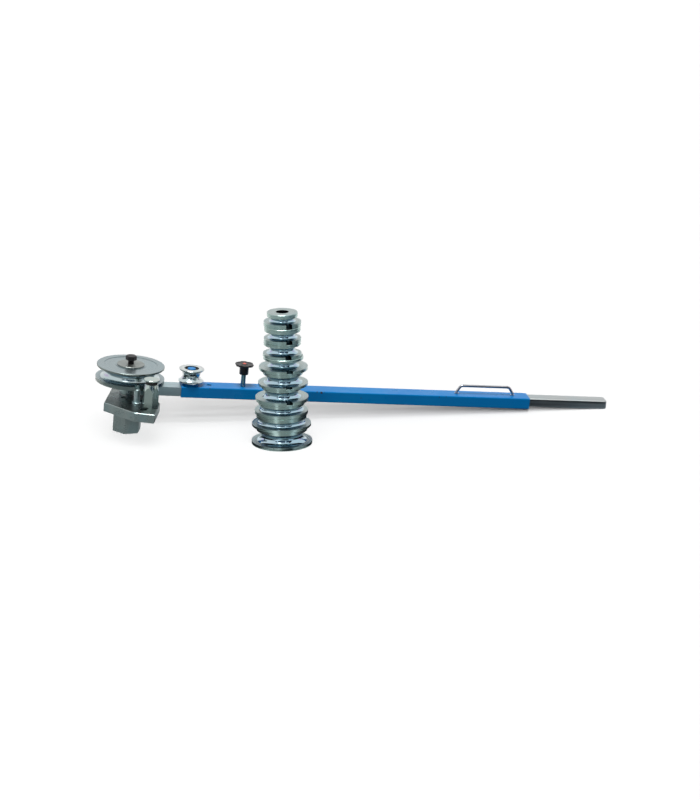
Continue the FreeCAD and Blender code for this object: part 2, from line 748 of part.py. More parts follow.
def build_drive_pin():
    x, y = pin_places()[0]
    collar_top = plate_top + PIN_COLLAR_HEIGHT
    top = seat_level + PIN_ENGAGEMENT
    tail = PIN_TAIL_RADIUS
    return turned((
        (0, plate_top - PIN_TAIL_LENGTH),
        (tail, plate_top - PIN_TAIL_LENGTH),
        (tail, plate_top),
        (PIN_COLLAR_RADIUS, plate_top),
        (PIN_COLLAR_RADIUS, collar_top - PIN_EDGE),
        (PIN_COLLAR_RADIUS - PIN_EDGE, collar_top),
        (PIN_RADIUS, collar_top),
        (PIN_RADIUS, top - PIN_EDGE),
        (PIN_RADIUS - PIN_EDGE, top),
        (0, top),
    ), x=x, y=y)


def build_stop_post():
    """Hexagonal below for a wrench, turned above to a cone, a neck and a cap over the pipe."""
    x, y = plate_point(STOP_ACROSS, -STOP_FORWARD)
    hex_top = plate_top + STOP_HEX_HEIGHT
    cone_top = hex_top + STOP_CONE_HEIGHT
    neck_top = cone_top + STOP_NECK_HEIGHT
    cap_top_level = neck_top + STOP_CAP_HEIGHT
    outside = hexagon_corner(STOP_FLATS) + OVERRUN
    envelope = turned((
        (0, plate_top),
        (outside, plate_top),
        (outside, hex_top - STOP_CORNER_DROP),
        (STOP_CONE_TOP_RADIUS, cone_top),
        (0, cone_top),
    ), x=x, y=y)
    post = hexagon(STOP_FLATS, plate_top, cone_top, x, y, STOP_TURN).common(envelope)
    head = turned((
        (0, cone_top),
        (STOP_NECK_RADIUS, cone_top),
        (STOP_NECK_RADIUS, neck_top),
        (STOP_CAP_RADIUS - STOP_EDGE, neck_top),
        (STOP_CAP_RADIUS, neck_top + STOP_EDGE),
        (STOP_CAP_RADIUS, cap_top_level - STOP_EDGE),
        (STOP_CAP_RADIUS - STOP_EDGE, cap_top_level),
        (0, cap_top_level),
    ), x=x, y=y)
    thread = cylinder(STOP_THREAD_RADIUS, plate_top - STOP_THREAD_LENGTH, plate_top, x, y)
    return post.fuse(head).fuse(thread).removeSplitter()


def notch_circle(flange):
    """The pin circle that a lower flange of this radius takes its notch from."""
    if flange > PIN_CIRCLE_LARGE:
        return PIN_CIRCLE_LARGE
    if flange > PIN_CIRCLE_MIDDLE:
        return PIN_CIRCLE_MIDDLE
    return PIN_CIRCLE_SMALL


def former(sizes, notch_angle):
    """One bending former on the origin: a round groove, two flanges and the drive notch below."""
    depth = groove_depth(sizes)
    half = groove_half(sizes)
    neck = sizes["neck"]
    upper = sizes["upper"]
    lower = sizes["lower"]
    low = sizes["base"]
    high = low + 2 * half
    height = former_height(sizes)
    bore = SPIGOT_RADIUS + RUNNING_CLEARANCE
    edge_size = broken_edge(FORMER_EDGE, min(low, height - high))
    body = turned((
        (bore, 0),
        (lower - edge_size, 0),
        (lower, edge_size),
        (lower, low),
        (neck + depth, low),
        (neck, low + half, neck + depth, high),
        (upper, high),
        (upper, height - edge_size),
        (upper - edge_size, height),
        (bore, height),
    ))
    return body.cut(drive_notch(lower, low + OVERRUN, notch_angle))


def drive_notch(flange, depth, angle):
    """A round-ended slot in from the lower flange's rim, for the drive pin."""
    circle = notch_circle(flange)
    half = PIN_RADIUS + NOTCH_CLEARANCE
    slot = cylinder(half, -OVERRUN, depth, circle)
    slot = slot.fuse(block(circle, max(circle, flange) + OVERRUN, -half, half, -OVERRUN, depth))
    slot.rotate(ORIGIN, UP, angle)
    return slot


def build_mounted_former():
    body = former(MOUNTED_FORMER, PIN_ANGLE)
    top = former_height(MOUNTED_FORMER)
    floor = top - MOUNTED_RELIEF_DEPTH
    body = body.cut(ring(MOUNTED_RELIEF_OUTER, MOUNTED_RELIEF_INNER, floor, top + OVERRUN))
    body.translate(V(0, 0, seat_level))
    return body


def bolt_seat():
    """The underside of the bolt's head."""
    return former_top + CLAMP_WASHER_THICKNESS + BOLT_STAND


def build_clamp_washer():
    bottom = former_top
    top = bottom + CLAMP_WASHER_THICKNESS
    edge_size = broken_edge(CLAMP_WASHER_EDGE, CLAMP_WASHER_THICKNESS)
    return turned((
        (BOLT_RADIUS + WASHER_CLEARANCE, bottom),
        (CLAMP_WASHER_RADIUS, bottom),
        (CLAMP_WASHER_RADIUS, top - edge_size),
        (CLAMP_WASHER_RADIUS - edge_size, top),
        (BOLT_RADIUS + WASHER_CLEARANCE, top),
    ))


def build_former_bolt():
    seat = bolt_seat()
    head_top = seat + BOLT_HEAD_HEIGHT
    outside = hexagon_corner(BOLT_FLATS) + OVERRUN
    envelope = turned((
        (0, seat),
        (outside, seat),
        (outside, head_top - BOLT_CORNER_DROP),
        (BOLT_FLATS / 2 - BOLT_FACE_INSET, head_top),
        (0, head_top),
    ))
    head = hexagon(BOLT_FLATS, seat, head_top, turn=BOLT_TURN).common(envelope)
    tip = seat - BOLT_LENGTH
    shank = turned((
        (0, tip),
        (BOLT_RADIUS - BOLT_TIP, tip),
        (BOLT_RADIUS, tip + BOLT_TIP),
        (BOLT_RADIUS, seat),
        (0, seat),
    ))
    return head.fuse(shank).removeSplitter()


def contact_points():
    """Where the tool touches the floor: two corners of the stub and one corner of the lever's end."""
    corner = (STUB_FLATS / 2 - STUB_CHAMFER) / math.cos(math.radians(30))
    points = []
    for side in (30, -30):
        x, y = polar(corner, PLATE_TURN + side)
        points.append(V(x, y, 0))
    points.append(V(lever_end, GRIP_BAR_CORNER - GRIP_BAR_WIDTH / 2, grip_bottom))
    return points


def resting_lean():
    """The turn about the origin that lays the three contact points on one level."""
    first, second, third = contact_points()
    normal = second.sub(first).cross(third.sub(first))
    if normal.z < 0:
        normal = normal * -1
    return FreeCAD.Placement(ORIGIN, FreeCAD.Rotation(normal, UP))


lean = resting_lean()
floor_level = lean.multVec(contact_points()[0]).z


def build_spare_formers():
    """The stack, from the floor up, each former set down a little off the one below it."""
    bottom = floor_level
    stack = []
    count = len(SPARE_FORMERS)
    for number in range(count, 0, -1):
        spare = SPARE_FORMERS[number - 1]
        if number <= STACK_FRONT_NOTCHES:
            facing = STACK_NOTCH_ANGLE + STACK_NOTCH_SWAY * math.sin(number)
        else:
            facing = STACK_NOTCH_ANGLE + 180
        body = former(spare, facing)
        back = STACK_SWAY if number % 2 else -STACK_SWAY
        body.translate(V(STACK_X + spare["aside"], STACK_Y + back, bottom))
        stack.append((number, body))
        bottom += former_height(spare)
    return stack


def export(name, shape):
    shape.exportStep("parts/" + name + ".step")


def export_tool(name, shape):
    leaning = shape.copy()
    leaning.Placement = lean.multiply(leaning.Placement)
    export(name, leaning)


os.makedirs("parts", exist_ok=True)
export_tool("vise_stub", build_vise_stub())
export_tool("base_plate", build_base_plate())
export_tool("centre_post", build_centre_post())
export_tool("thrust_washer", build_thrust_washer())
export_tool("former_seat_washer", build_seat_washer())
export_tool("drive_pin", build_drive_pin())
export_tool("stop_post", build_stop_post())
export_tool("mounted_former", build_mounted_former())
export_tool("clamp_washer", build_clamp_washer())
export_tool("former_bolt", build_former_bolt())
export_tool("lever_hub", build_hub())
export_tool("hub_bush", build_hub_bush())
export_tool("lever_bar", build_lever_bar())
export_tool("sleeve_tube", build_sleeve_tube())
export_tool("grip_bar", build_grip_bar())
export_tool("carry_handle", build_carry_handle())
export_tool("handle_nuts", build_handle_nuts())
export_tool("roller_stud", build_roller_stud())
export_tool("roller_bush", build_roller_bush())
export_tool("counter_roller", build_counter_roller())
export_tool("roller_circlip", build_roller_circlip())
export_tool("lock_pin_shank", build_lock_shank())
export_tool("lock_balls", build_lock_balls())
export_tool("lock_pin_grip", build_lock_grip())
export_tool("lock_button", build_lock_button())
export_tool("lock_spindle", build_lock_spindle())
export_tool("lock_spring", build_lock_spring())
for number, body in build_spare_formers():
    export("spare_former_" + str(number), body)
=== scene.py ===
# %% [markdown]
# # A bench pipe bender
# This lesson dresses a bench pipe bender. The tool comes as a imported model: a head that a vise holds, a
# lever with a sliding blue sleeve, and a stack of spare bending formers beside it. Its solids keep their
# size and place. Added here are the light, the finishes, and the small pieces that are easier to model by
# hand: welds, a moulded knob and screw threads.

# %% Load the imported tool
import json
import math

import bpy
from mathutils import Matrix, Quaternion, Vector


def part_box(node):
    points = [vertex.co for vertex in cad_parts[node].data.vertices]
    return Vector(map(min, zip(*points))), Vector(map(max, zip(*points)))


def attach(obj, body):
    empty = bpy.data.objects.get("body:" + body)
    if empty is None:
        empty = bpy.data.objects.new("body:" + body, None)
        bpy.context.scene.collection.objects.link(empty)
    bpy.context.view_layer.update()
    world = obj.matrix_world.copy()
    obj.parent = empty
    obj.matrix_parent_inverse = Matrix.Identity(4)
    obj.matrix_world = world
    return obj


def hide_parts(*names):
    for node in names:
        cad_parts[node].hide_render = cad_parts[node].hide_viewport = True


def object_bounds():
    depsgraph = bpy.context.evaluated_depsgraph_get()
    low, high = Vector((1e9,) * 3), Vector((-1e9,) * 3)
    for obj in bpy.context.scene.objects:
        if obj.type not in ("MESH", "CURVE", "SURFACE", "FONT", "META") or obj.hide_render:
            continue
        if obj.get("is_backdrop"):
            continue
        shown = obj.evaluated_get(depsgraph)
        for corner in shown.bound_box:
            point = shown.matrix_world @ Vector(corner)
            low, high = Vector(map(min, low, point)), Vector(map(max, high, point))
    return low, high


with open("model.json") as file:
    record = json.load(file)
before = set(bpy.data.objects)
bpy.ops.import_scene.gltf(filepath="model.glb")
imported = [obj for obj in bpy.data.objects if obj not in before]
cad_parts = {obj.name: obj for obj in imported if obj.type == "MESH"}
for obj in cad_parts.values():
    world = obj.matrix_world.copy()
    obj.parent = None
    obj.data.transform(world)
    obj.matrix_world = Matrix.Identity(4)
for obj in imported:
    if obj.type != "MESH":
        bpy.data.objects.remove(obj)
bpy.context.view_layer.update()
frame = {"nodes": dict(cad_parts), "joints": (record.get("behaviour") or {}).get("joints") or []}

# %% [markdown]
# ## The tool leans
# The bender rests on two corners of its stub and on the far end of its lever, so it leans by about five
# degrees, while the spare formers stand upright. Pieces that are added to the tool are modelled upright,
# in the tool's own directions, and then laid over with one matrix. The directions come from the record:
# the sleeve slides along the lever, and the lever swings about the head's axis.

# %% The tool's own directions
joints = {joint["name"]: joint for joint in frame["joints"]}
along = Vector(joints["sleeve_slide"]["axis"]).normalized()
upward = Vector(joints["lever_swing"]["axis"]).normalized()
across = upward.cross(along).normalized()
TOOL = Matrix((along, across, upward)).transposed().to_4x4()
TO_TOOL = TOOL.inverted()
MM = 0.001
floor_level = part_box("spare_former_9")[0].z
print("lean in degrees:", round(math.degrees(upward.angle(Vector((0, 0, 1)))), 2))
print("floor level in mm:", round(floor_level / MM, 2))

# %% [markdown]
# ## The camera
# The picture is taken from a little left of the middle and from about 17 degrees up, with a long lens
# from more than five metres away, so the far end of the lever looks nearly as large as the head.

# %% Camera
LOOK_AT = Vector((0.4474, -0.0009, 0.0392))
AZIMUTH = math.radians(-9.664)
ELEVATION = math.radians(17.005)
DISTANCE = 5.556
LENS = 125.36
SENSOR_WIDTH = 36

back = Vector((
    math.sin(AZIMUTH) * math.cos(ELEVATION),
    -math.cos(AZIMUTH) * math.cos(ELEVATION),
    math.sin(ELEVATION),
))
bpy.ops.object.camera_add(location=LOOK_AT + back * DISTANCE)
camera = bpy.context.object
camera.name = "studio_camera"
camera.data.lens = LENS
camera.data.sensor_width = SENSOR_WIDTH
camera.data.clip_start = 0.1
camera.data.clip_end = 60
camera.rotation_mode = "QUATERNION"
camera.rotation_quaternion = (-back).to_track_quat("-Z", "Y")
bpy.context.scene.camera = camera
print("camera at", tuple(round(v, 3) for v in camera.location))

# %% [markdown]
# ## Floor and room
# A white sweep fills the picture behind the tool. The floor takes the shadows. Its paper is a middle
# grey under strong floor lamps, which a camera or a mirror sees as white, while light that bounces off
# it is dimmer, so that the sides of the tool keep their shade. The world works in the same way: white to
# look at, softer as a light.

# %% Helpers for shader nodes
def clear_tree(owner):
    owner.use_nodes = True
    owner.node_tree.nodes.clear()
    return owner.node_tree


def set_inputs(tree, made, inputs):
    """Set inputs by name or number, from values or from other sockets. Underscores stand for spaces."""
    for key, value in inputs.items():
        socket = made.inputs[key.replace("_", " ") if isinstance(key, str) else key]
        if isinstance(value, bpy.types.NodeSocket):
            tree.links.new(value, socket)
        else:
            socket.default_value = value


def node(tree, kind, inputs=None, **settings):
    """Add a node, set its properties, and then its inputs."""
    made = tree.nodes.new(kind)
    for name, value in settings.items():
        setattr(made, name, value)
    set_inputs(tree, made, inputs or {})
    return made


def maths(tree, operation, *values):
    """One Math node's result."""
    return node(tree, "ShaderNodeMath", dict(enumerate(values)), operation=operation).outputs[0]


def vector_maths(tree, operation, *values):
    """One Vector Math node's outputs: a vector first, and a Value for lengths and products."""
    return node(tree, "ShaderNodeVectorMath", dict(enumerate(values)), operation=operation).outputs


def seen_directly(tree):
    """1 where a camera, a mirror or glass looks, 0 where the surface only sends out light."""
    path = node(tree, "ShaderNodeLightPath").outputs
    mirror = maths(tree, "MAXIMUM", path["Is Glossy Ray"], path["Is Transmission Ray"])
    return maths(tree, "MAXIMUM", path["Is Camera Ray"], mirror)


# %% World
AMBIENT = 0.34
world = bpy.data.worlds.new("studio_room")
bpy.context.scene.world = world
tree = clear_tree(world)
look = seen_directly(tree)
level = node(tree, "ShaderNodeMapRange", {"Value": look, "To Min": AMBIENT, "To Max": 1.0})
room = node(tree, "ShaderNodeBackground", {"Color": (1, 1, 1, 1), "Strength": level.outputs[0]})
node(tree, "ShaderNodeOutputWorld", {"Surface": room.outputs[0]})
print("ambient light:", AMBIENT)

# %% Floor
FLOOR_SEEN = 0.40
FLOOR_BOUNCE = 0.098
FLOOR_SIZE = 24
bpy.ops.mesh.primitive_plane_add(size=FLOOR_SIZE, location=(0.45, 0, floor_level))
floor = bpy.context.object
floor.name = "studio_floor"
floor_paper = bpy.data.materials.new("white_paper_sweep")
tree = clear_tree(floor_paper)
look = seen_directly(tree)
white = node(tree, "ShaderNodeMapRange", {"Value": look, "To Min": FLOOR_BOUNCE, "To Max": FLOOR_SEEN})
paper = node(tree, "ShaderNodeBsdfDiffuse", {"Color": white.outputs[0]})
node(tree, "ShaderNodeOutputMaterial", {"Surface": paper.outputs[0]})
floor.data.materials.append(floor_paper)
floor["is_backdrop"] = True
print("the floor shows", FLOOR_SEEN, "and bounces", FLOOR_BOUNCE)

# %% [markdown]
# ## Lamps
# One broad lamp stands nearly overhead and a weak one shines from behind the camera. All lamps are suns,
# because a sun lights a large floor evenly. These two light the tool. Five more suns are linked to the
# floor alone. Only the long lever parts block the four firm ones, which lay a broad, even shadow under the
# lever. The soft one is blocked by everything, and gives the head and the stack a shadow at their feet.
# One lamp for all would be simpler, but a lamp broad enough for this shadow would leave the tool flat.

# %% Lamps
# The azimuth in degrees where the camera stands, while 0 is straight in front of the tool
CAMERA_SIDE = -9.7


def sun(name, azimuth, elevation, strength, softness):
    """A sun at an azimuth and an elevation in degrees, with its strength on level ground."""
    turn = math.radians(azimuth)
    rise = math.radians(elevation)
    source = Vector((math.sin(turn) * math.cos(rise), -math.cos(turn) * math.cos(rise), math.sin(rise)))
    bpy.ops.object.light_add(type="SUN", location=source * 3)
    lamp = bpy.context.object
    lamp.name = name
    lamp.data.energy = strength * math.pi / math.sin(rise)
    lamp.data.angle = math.radians(softness)
    lamp.rotation_mode = "QUATERNION"
    lamp.rotation_quaternion = (-source).to_track_quat("-Z", "Y")
    return lamp


def links(name, state, *listed):
    """A collection for light linking, which includes or excludes the objects listed in it."""
    made = bpy.data.collections.new(name)
    for item in listed:
        made.objects.link(item)
    for entry in made.collection_objects:
        entry.light_linking.link_state = state
    return made


NOT_THE_FLOOR = links("not_the_floor", "EXCLUDE", floor)
ONLY_THE_FLOOR = links("only_the_floor", "INCLUDE", floor)
lever_nodes = [frame["nodes"][name] for name in ("lever_bar", "sleeve_tube", "grip_bar")]
LEVER_PARTS = links("lever_parts", "INCLUDE", *lever_nodes)

for lamp in (sun("overhead_lamp", -20, 78, 0.74, 24), sun("front_lamp", -24, 40, 0.05, 16)):
    lamp.light_linking.receiver_collection = NOT_THE_FLOOR
for elevation, strength in ((21, 0.50), (27, 0.50), (36, 0.50), (50, 0.35)):
    lamp = sun("floor_lamp_%d" % elevation, CAMERA_SIDE, elevation, strength, 9)
    lamp.light_linking.receiver_collection = ONLY_THE_FLOOR
    lamp.light_linking.blocker_collection = LEVER_PARTS
soft_lamp = sun("soft_floor_lamp", CAMERA_SIDE, 60, 0.38, 45)
soft_lamp.light_linking.receiver_collection = ONLY_THE_FLOOR

# %% [markdown]
# ## Cards
# Turned metal shows its shape by what it mirrors. So the studio has large grey cards on the floor, which
# the upright faces mirror, narrow bright strips that draw upright lines on round walls, and dark ones
# beside them. Only mirrors see them: they light nothing and throw no shadow, so each can be moved for one
# line on one wall.

# %% Cards that only mirrors see
STACK_FOOT = (0.29, -0.125)
POST_FOOT = (0.06, -0.09)
STRIP_DISTANCE = 2.3
PALE = (1.25, 1.3, 1.35)


def card(name, width, height, place, face, colour):
    """A plain card that faces a direction, for reflections only."""
    bpy.ops.mesh.primitive_plane_add(size=1, location=place)
    board = bpy.context.object
    board.name = name
    board.scale = (width, height, 1)
    board.rotation_mode = "QUATERNION"
    board.rotation_quaternion = Vector(face).to_track_quat("Z", "Y")
    paint = bpy.data.materials.new(name)
    tree = clear_tree(paint)
    glow = node(tree, "ShaderNodeEmission", {"Color": (*colour, 1)})
    node(tree, "ShaderNodeOutputMaterial", {"Surface": glow.outputs[0]})
    board.data.materials.append(paint)
    board.visible_camera = False
    board.visible_diffuse = False
    board.visible_shadow = False
    board.visible_volume_scatter = False
    board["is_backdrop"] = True
    return board


def outward(azimuth):
    """The level direction at an azimuth in degrees, counted from the camera's side."""
    turn = math.radians(azimuth + CAMERA_SIDE)
    return Vector((math.sin(turn), -math.cos(turn), 0))


def standing_card(name, azimuth, distance, width, height, colour):
    """An upright card that faces the stack, from an azimuth counted from the camera's side."""
    away = outward(azimuth)
    place = Vector((*STACK_FOOT, height / 2 + floor_level)) + away * distance
    card(name, width, height, place, -away, colour)


def floor_strip(name, start, azimuth, length, width, colour):
    """A strip on the floor that runs out from a point, seen in upright walls there as an upright line."""
    away = outward(azimuth)
    place = Vector((*start, floor_level + 0.001)) + away * length / 2
    strip = card(name, width, length, place, (0, 0, 1), colour)
    strip.rotation_quaternion = Quaternion((0, 0, 1), math.radians(azimuth + CAMERA_SIDE) + math.pi)


card("floor_card_left", 1.6, 1.6, (-0.08, -0.7, floor_level + 0.0005), (0, 0, 1), (0.36, 0.40, 0.41))
card("floor_card_right", 1.6, 1.6, (1.52, -0.7, floor_level + 0.0005), (0, 0, 1), (0.17, 0.21, 0.25))
card("camera_side_card", 5.0, 2.2, (0.4, -2.6, 0.6), (0, 1, 0), (0.035, 0.075, 0.12))
floor_strip("bright_floor_strip_left", STACK_FOOT, -20, 1.3, 0.05, (1.3, 1.35, 1.4))
floor_strip("bright_floor_strip_right", STACK_FOOT, 45, 1.3, 0.04, (0.9, 1.0, 1.1))
floor_strip("black_floor_strip", STACK_FOOT, 100, 1.3, 0.17, (0.01, 0.014, 0.02))
floor_strip("black_strip_by_the_post", POST_FOOT, 104, 0.7, 0.24, (0.01, 0.015, 0.02))
standing_card("bright_strip_left", -24, STRIP_DISTANCE, 0.17, 2.2, PALE)
standing_card("bright_strip_right", 22, STRIP_DISTANCE, 0.14, 2.2, PALE)
standing_card("black_card_right", 48, STRIP_DISTANCE, 0.5, 2.2, (0.01, 0.012, 0.015))
standing_card("lilac_card_left", -118, 2.6, 1.4, 0.9, (0.95, 0.74, 0.98))
standing_card("lilac_card_right", 118, 2.6, 1.4, 0.9, (1.0, 0.76, 0.92))

# %% [markdown]
# ## Effects that the finishes share
# The tool's steel is zinc-plated, so it is greyer and bluer than bare steel, with a faint bloom of
# colour. Turned surfaces have fine rings round their own axis, rolled ones have streaks along their
# length, and handling wears the edges bare. Each effect is a node group that several finishes share, with
# its own values in each, so that the whole tool ages in one way.

# %% Coordinates on the tool and on a lathe axis
def tool_place(tree):
    """Object coordinates turned into the tool's own directions, in metres."""
    place = node(tree, "ShaderNodeTexCoord").outputs["Object"]
    turn = TO_TOOL.to_euler("XYZ")
    return node(tree, "ShaderNodeMapping", {"Vector": place, "Rotation": turn}).outputs[0]


def lathe_place(tree, centre, leaning):
    """Coordinates whose Z axis is the lathe axis of a turned piece, from a point on that axis."""
    place = node(tree, "ShaderNodeTexCoord").outputs["Object"]
    turn = TO_TOOL.to_euler("XYZ") if leaning else (0, 0, 0)
    moved = vector_maths(tree, "SUBTRACT", place, centre)[0]
    return node(tree, "ShaderNodeMapping", {"Vector": moved, "Rotation": turn}).outputs[0]


# %% Helpers for node groups
def new_group(name, inputs, outputs):
    """A shader node group with named sockets, each a (name, kind, value) or a (name, kind)."""
    group = bpy.data.node_groups.new(name, "ShaderNodeTree")
    for title, kind, value in inputs:
        socket = group.interface.new_socket(name=title, in_out="INPUT", socket_type=kind)
        socket.default_value = value
    for title, kind in outputs:
        group.interface.new_socket(name=title, in_out="OUTPUT", socket_type=kind)
    entry = group.nodes.new("NodeGroupInput")
    exit_node = group.nodes.new("NodeGroupOutput")
    return group, entry.outputs, exit_node.inputs


FLOAT = "NodeSocketFloat"
VECTOR = "NodeSocketVector"
COLOUR = "NodeSocketColor"


def use_group(tree, group, **inputs):
    """Place a group, with its inputs by name."""
    return node(tree, "ShaderNodeGroup", inputs, node_tree=group).outputs


def noise(tree, vector, scale, detail=3.0, roughness=0.5):
    values = {"Vector": vector, "Scale": scale, "Detail": detail, "Roughness": roughness}
    return node(tree, "ShaderNodeTexNoise", values).outputs[0]


def ramp(tree, value, low, high, to_low=0.0, to_high=1.0):
    """A smooth step of a value between two limits."""
    values = {"Value": value, "From Min": low, "From Max": high, "To Min": to_low, "To Max": to_high}
    return node(tree, "ShaderNodeMapRange", values, interpolation_type="SMOOTHSTEP").outputs[0]


def mix_colour(tree, factor, first, second, blend="MIX"):
    """Two colours mixed. A Mix node keeps its colours in inputs 6 and 7 and in output 2."""
    inputs = {0: factor, 6: first, 7: second}
    return node(tree, "ShaderNodeMix", inputs, data_type="RGBA", blend_type=blend).outputs[2]


def times_colour(tree, first, second):
    return mix_colour(tree, 1.0, first, second, "MULTIPLY")


# %% The shared effects
# Turning marks: rings of random height round the lathe axis, and their broader shimmer
rings_group, g_in, g_out = new_group(
    "turning_marks",
    [("Vector", VECTOR, (0, 0, 0)), ("Ring Scale", FLOAT, 900.0)],
    [("Height", FLOAT), ("Shimmer", FLOAT), ("Radius", FLOAT), ("Level", FLOAT)],
)
parts = node(rings_group, "ShaderNodeSeparateXYZ", {0: g_in["Vector"]}).outputs
flat = node(rings_group, "ShaderNodeCombineXYZ", {0: parts[0], 1: parts[1]}).outputs[0]
radius = vector_maths(rings_group, "LENGTH", flat)["Value"]
path = maths(rings_group, "ADD", radius, maths(rings_group, "MULTIPLY", parts[2], 1.37))
fine_line = {"W": maths(rings_group, "MULTIPLY", path, g_in["Ring Scale"]), "Scale": 1.0, "Detail": 3.0}
fine = node(rings_group, "ShaderNodeTexNoise", fine_line, noise_dimensions="1D")
broad_line = {"W": maths(rings_group, "MULTIPLY", path, 130.0), "Scale": 1.0}
broad = node(rings_group, "ShaderNodeTexNoise", broad_line, noise_dimensions="1D")
rings_group.links.new(fine.outputs[0], g_out["Height"])
rings_group.links.new(broad.outputs[0], g_out["Shimmer"])
rings_group.links.new(radius, g_out["Radius"])
rings_group.links.new(parts[2], g_out["Level"])

# Plating bloom: slow changes from grey-green over blue to a little pink
bloom_group, g_in, g_out = new_group(
    "plating_bloom",
    [
        ("Vector", VECTOR, (0, 0, 0)),
        ("Scale", FLOAT, 18.0),
        ("Colour", COLOUR, (0.5, 0.5, 0.5, 1)),
        ("Amount", FLOAT, 0.3),
    ],
    [("Colour", COLOUR)],
)
first = noise(bloom_group, g_in["Vector"], g_in["Scale"], 2.0)
moved = vector_maths(bloom_group, "ADD", g_in["Vector"], (3.1, 1.7, 0.4))[0]
second = noise(bloom_group, moved, g_in["Scale"], 2.0)
cool = mix_colour(bloom_group, ramp(bloom_group, first, 0.42, 0.68), (1, 1, 1, 1), (0.72, 0.96, 1.06, 1))
warm = mix_colour(bloom_group, ramp(bloom_group, second, 0.56, 0.74), cool, (1.15, 0.88, 1.0, 1))
tinted = mix_colour(bloom_group, g_in["Amount"], (1, 1, 1, 1), warm)
bloom_group.links.new(times_colour(bloom_group, g_in["Colour"], tinted), g_out["Colour"])

# Edge mask: how much a rounded-off normal differs from the true one, near an outer edge
edge_group, g_in, g_out = new_group(
    "worn_edges",
    [("Vector", VECTOR, (0, 0, 0)), ("Width", FLOAT, 0.0012)],
    [("Mask", FLOAT)],
)
rounded = node(edge_group, "ShaderNodeBevel", {"Radius": g_in["Width"]}, samples=4).outputs[0]
true = node(edge_group, "ShaderNodeNewGeometry").outputs["True Normal"]
same = vector_maths(edge_group, "DOT_PRODUCT", rounded, true)["Value"]
bare = ramp(edge_group, same, 0.985, 0.80)
patchy = ramp(edge_group, noise(edge_group, g_in["Vector"], 220.0, 4.0), 0.35, 0.6)
edge_group.links.new(maths(edge_group, "MULTIPLY", bare, patchy), g_out["Mask"])

# Drawn lines: long fine streaks along the tool's X, as on rolled bar
drawn_group, g_in, g_out = new_group(
    "drawn_lines",
    [("Vector", VECTOR, (0, 0, 0)), ("Scale", FLOAT, 900.0)],
    [("Height", FLOAT), ("Streak", FLOAT)],
)
long = node(drawn_group, "ShaderNodeMapping", {"Vector": g_in["Vector"], "Scale": (0.012, 1, 1)}).outputs[0]
fine = noise(drawn_group, long, g_in["Scale"], 3.0)
broad = noise(drawn_group, long, 160.0, 2.0)
drawn_group.links.new(fine, g_out["Height"])
drawn_group.links.new(broad, g_out["Streak"])
print("groups:", [g.name for g in bpy.data.node_groups])


# %% Helpers for shaders
def principled(tree, **inputs):
    """The shader and the output, with the shader's inputs by name."""
    shader = node(tree, "ShaderNodeBsdfPrincipled", inputs)
    node(tree, "ShaderNodeOutputMaterial", {"Surface": shader.outputs[0]})


def bump(tree, height, depth):
    values = {"Height": height, "Distance": depth, "Strength": 1.0}
    return node(tree, "ShaderNodeBump", values).outputs[0]


def new_material(name):
    made = bpy.data.materials.new(name)
    return made, clear_tree(made)


def facing(tree, leaning):
    """How far a face looks up the axis: 1 on a flat top, 0 on an upright wall, -1 underneath."""
    normal = node(tree, "ShaderNodeTexCoord").outputs["Normal"]
    axis = tuple(upward) if leaning else (0, 0, 1)
    return vector_maths(tree, "DOT_PRODUCT", normal, axis)["Value"]


# %% [markdown]
# ## The formers' finish
# A former is turned from a bar, its groove is polished so that it doesn't mark the pipe, and then it is
# plated. So the groove mirrors sharply, while the rims and the flat faces are duller and show fine rings.
# One material does all of it: the distance from the lathe axis tells the groove from the rims, and the
# direction of a face tells walls from flats. Several materials would have to be given out face by face.
# The slot that takes the drive pin is milled, and its inside is painted dark, as painted shade in the recess.

# %% Turned and plated formers
# Painted shade for the groove's faces that look down, under the rims
PAINTED_GROOVE_SHADE = (0.07, 0.13, 0.17, 1)
# Painted shade for the inside of the drive pin's slot
PAINTED_SLOT_SHADE = (0.02, 0.04, 0.05, 1)
SLOT_HALF_WIDTH = 0.0064
SHARP = 0.0001
RIM_ROUGHNESS = 0.27
RING_DEPTH = 0.000004


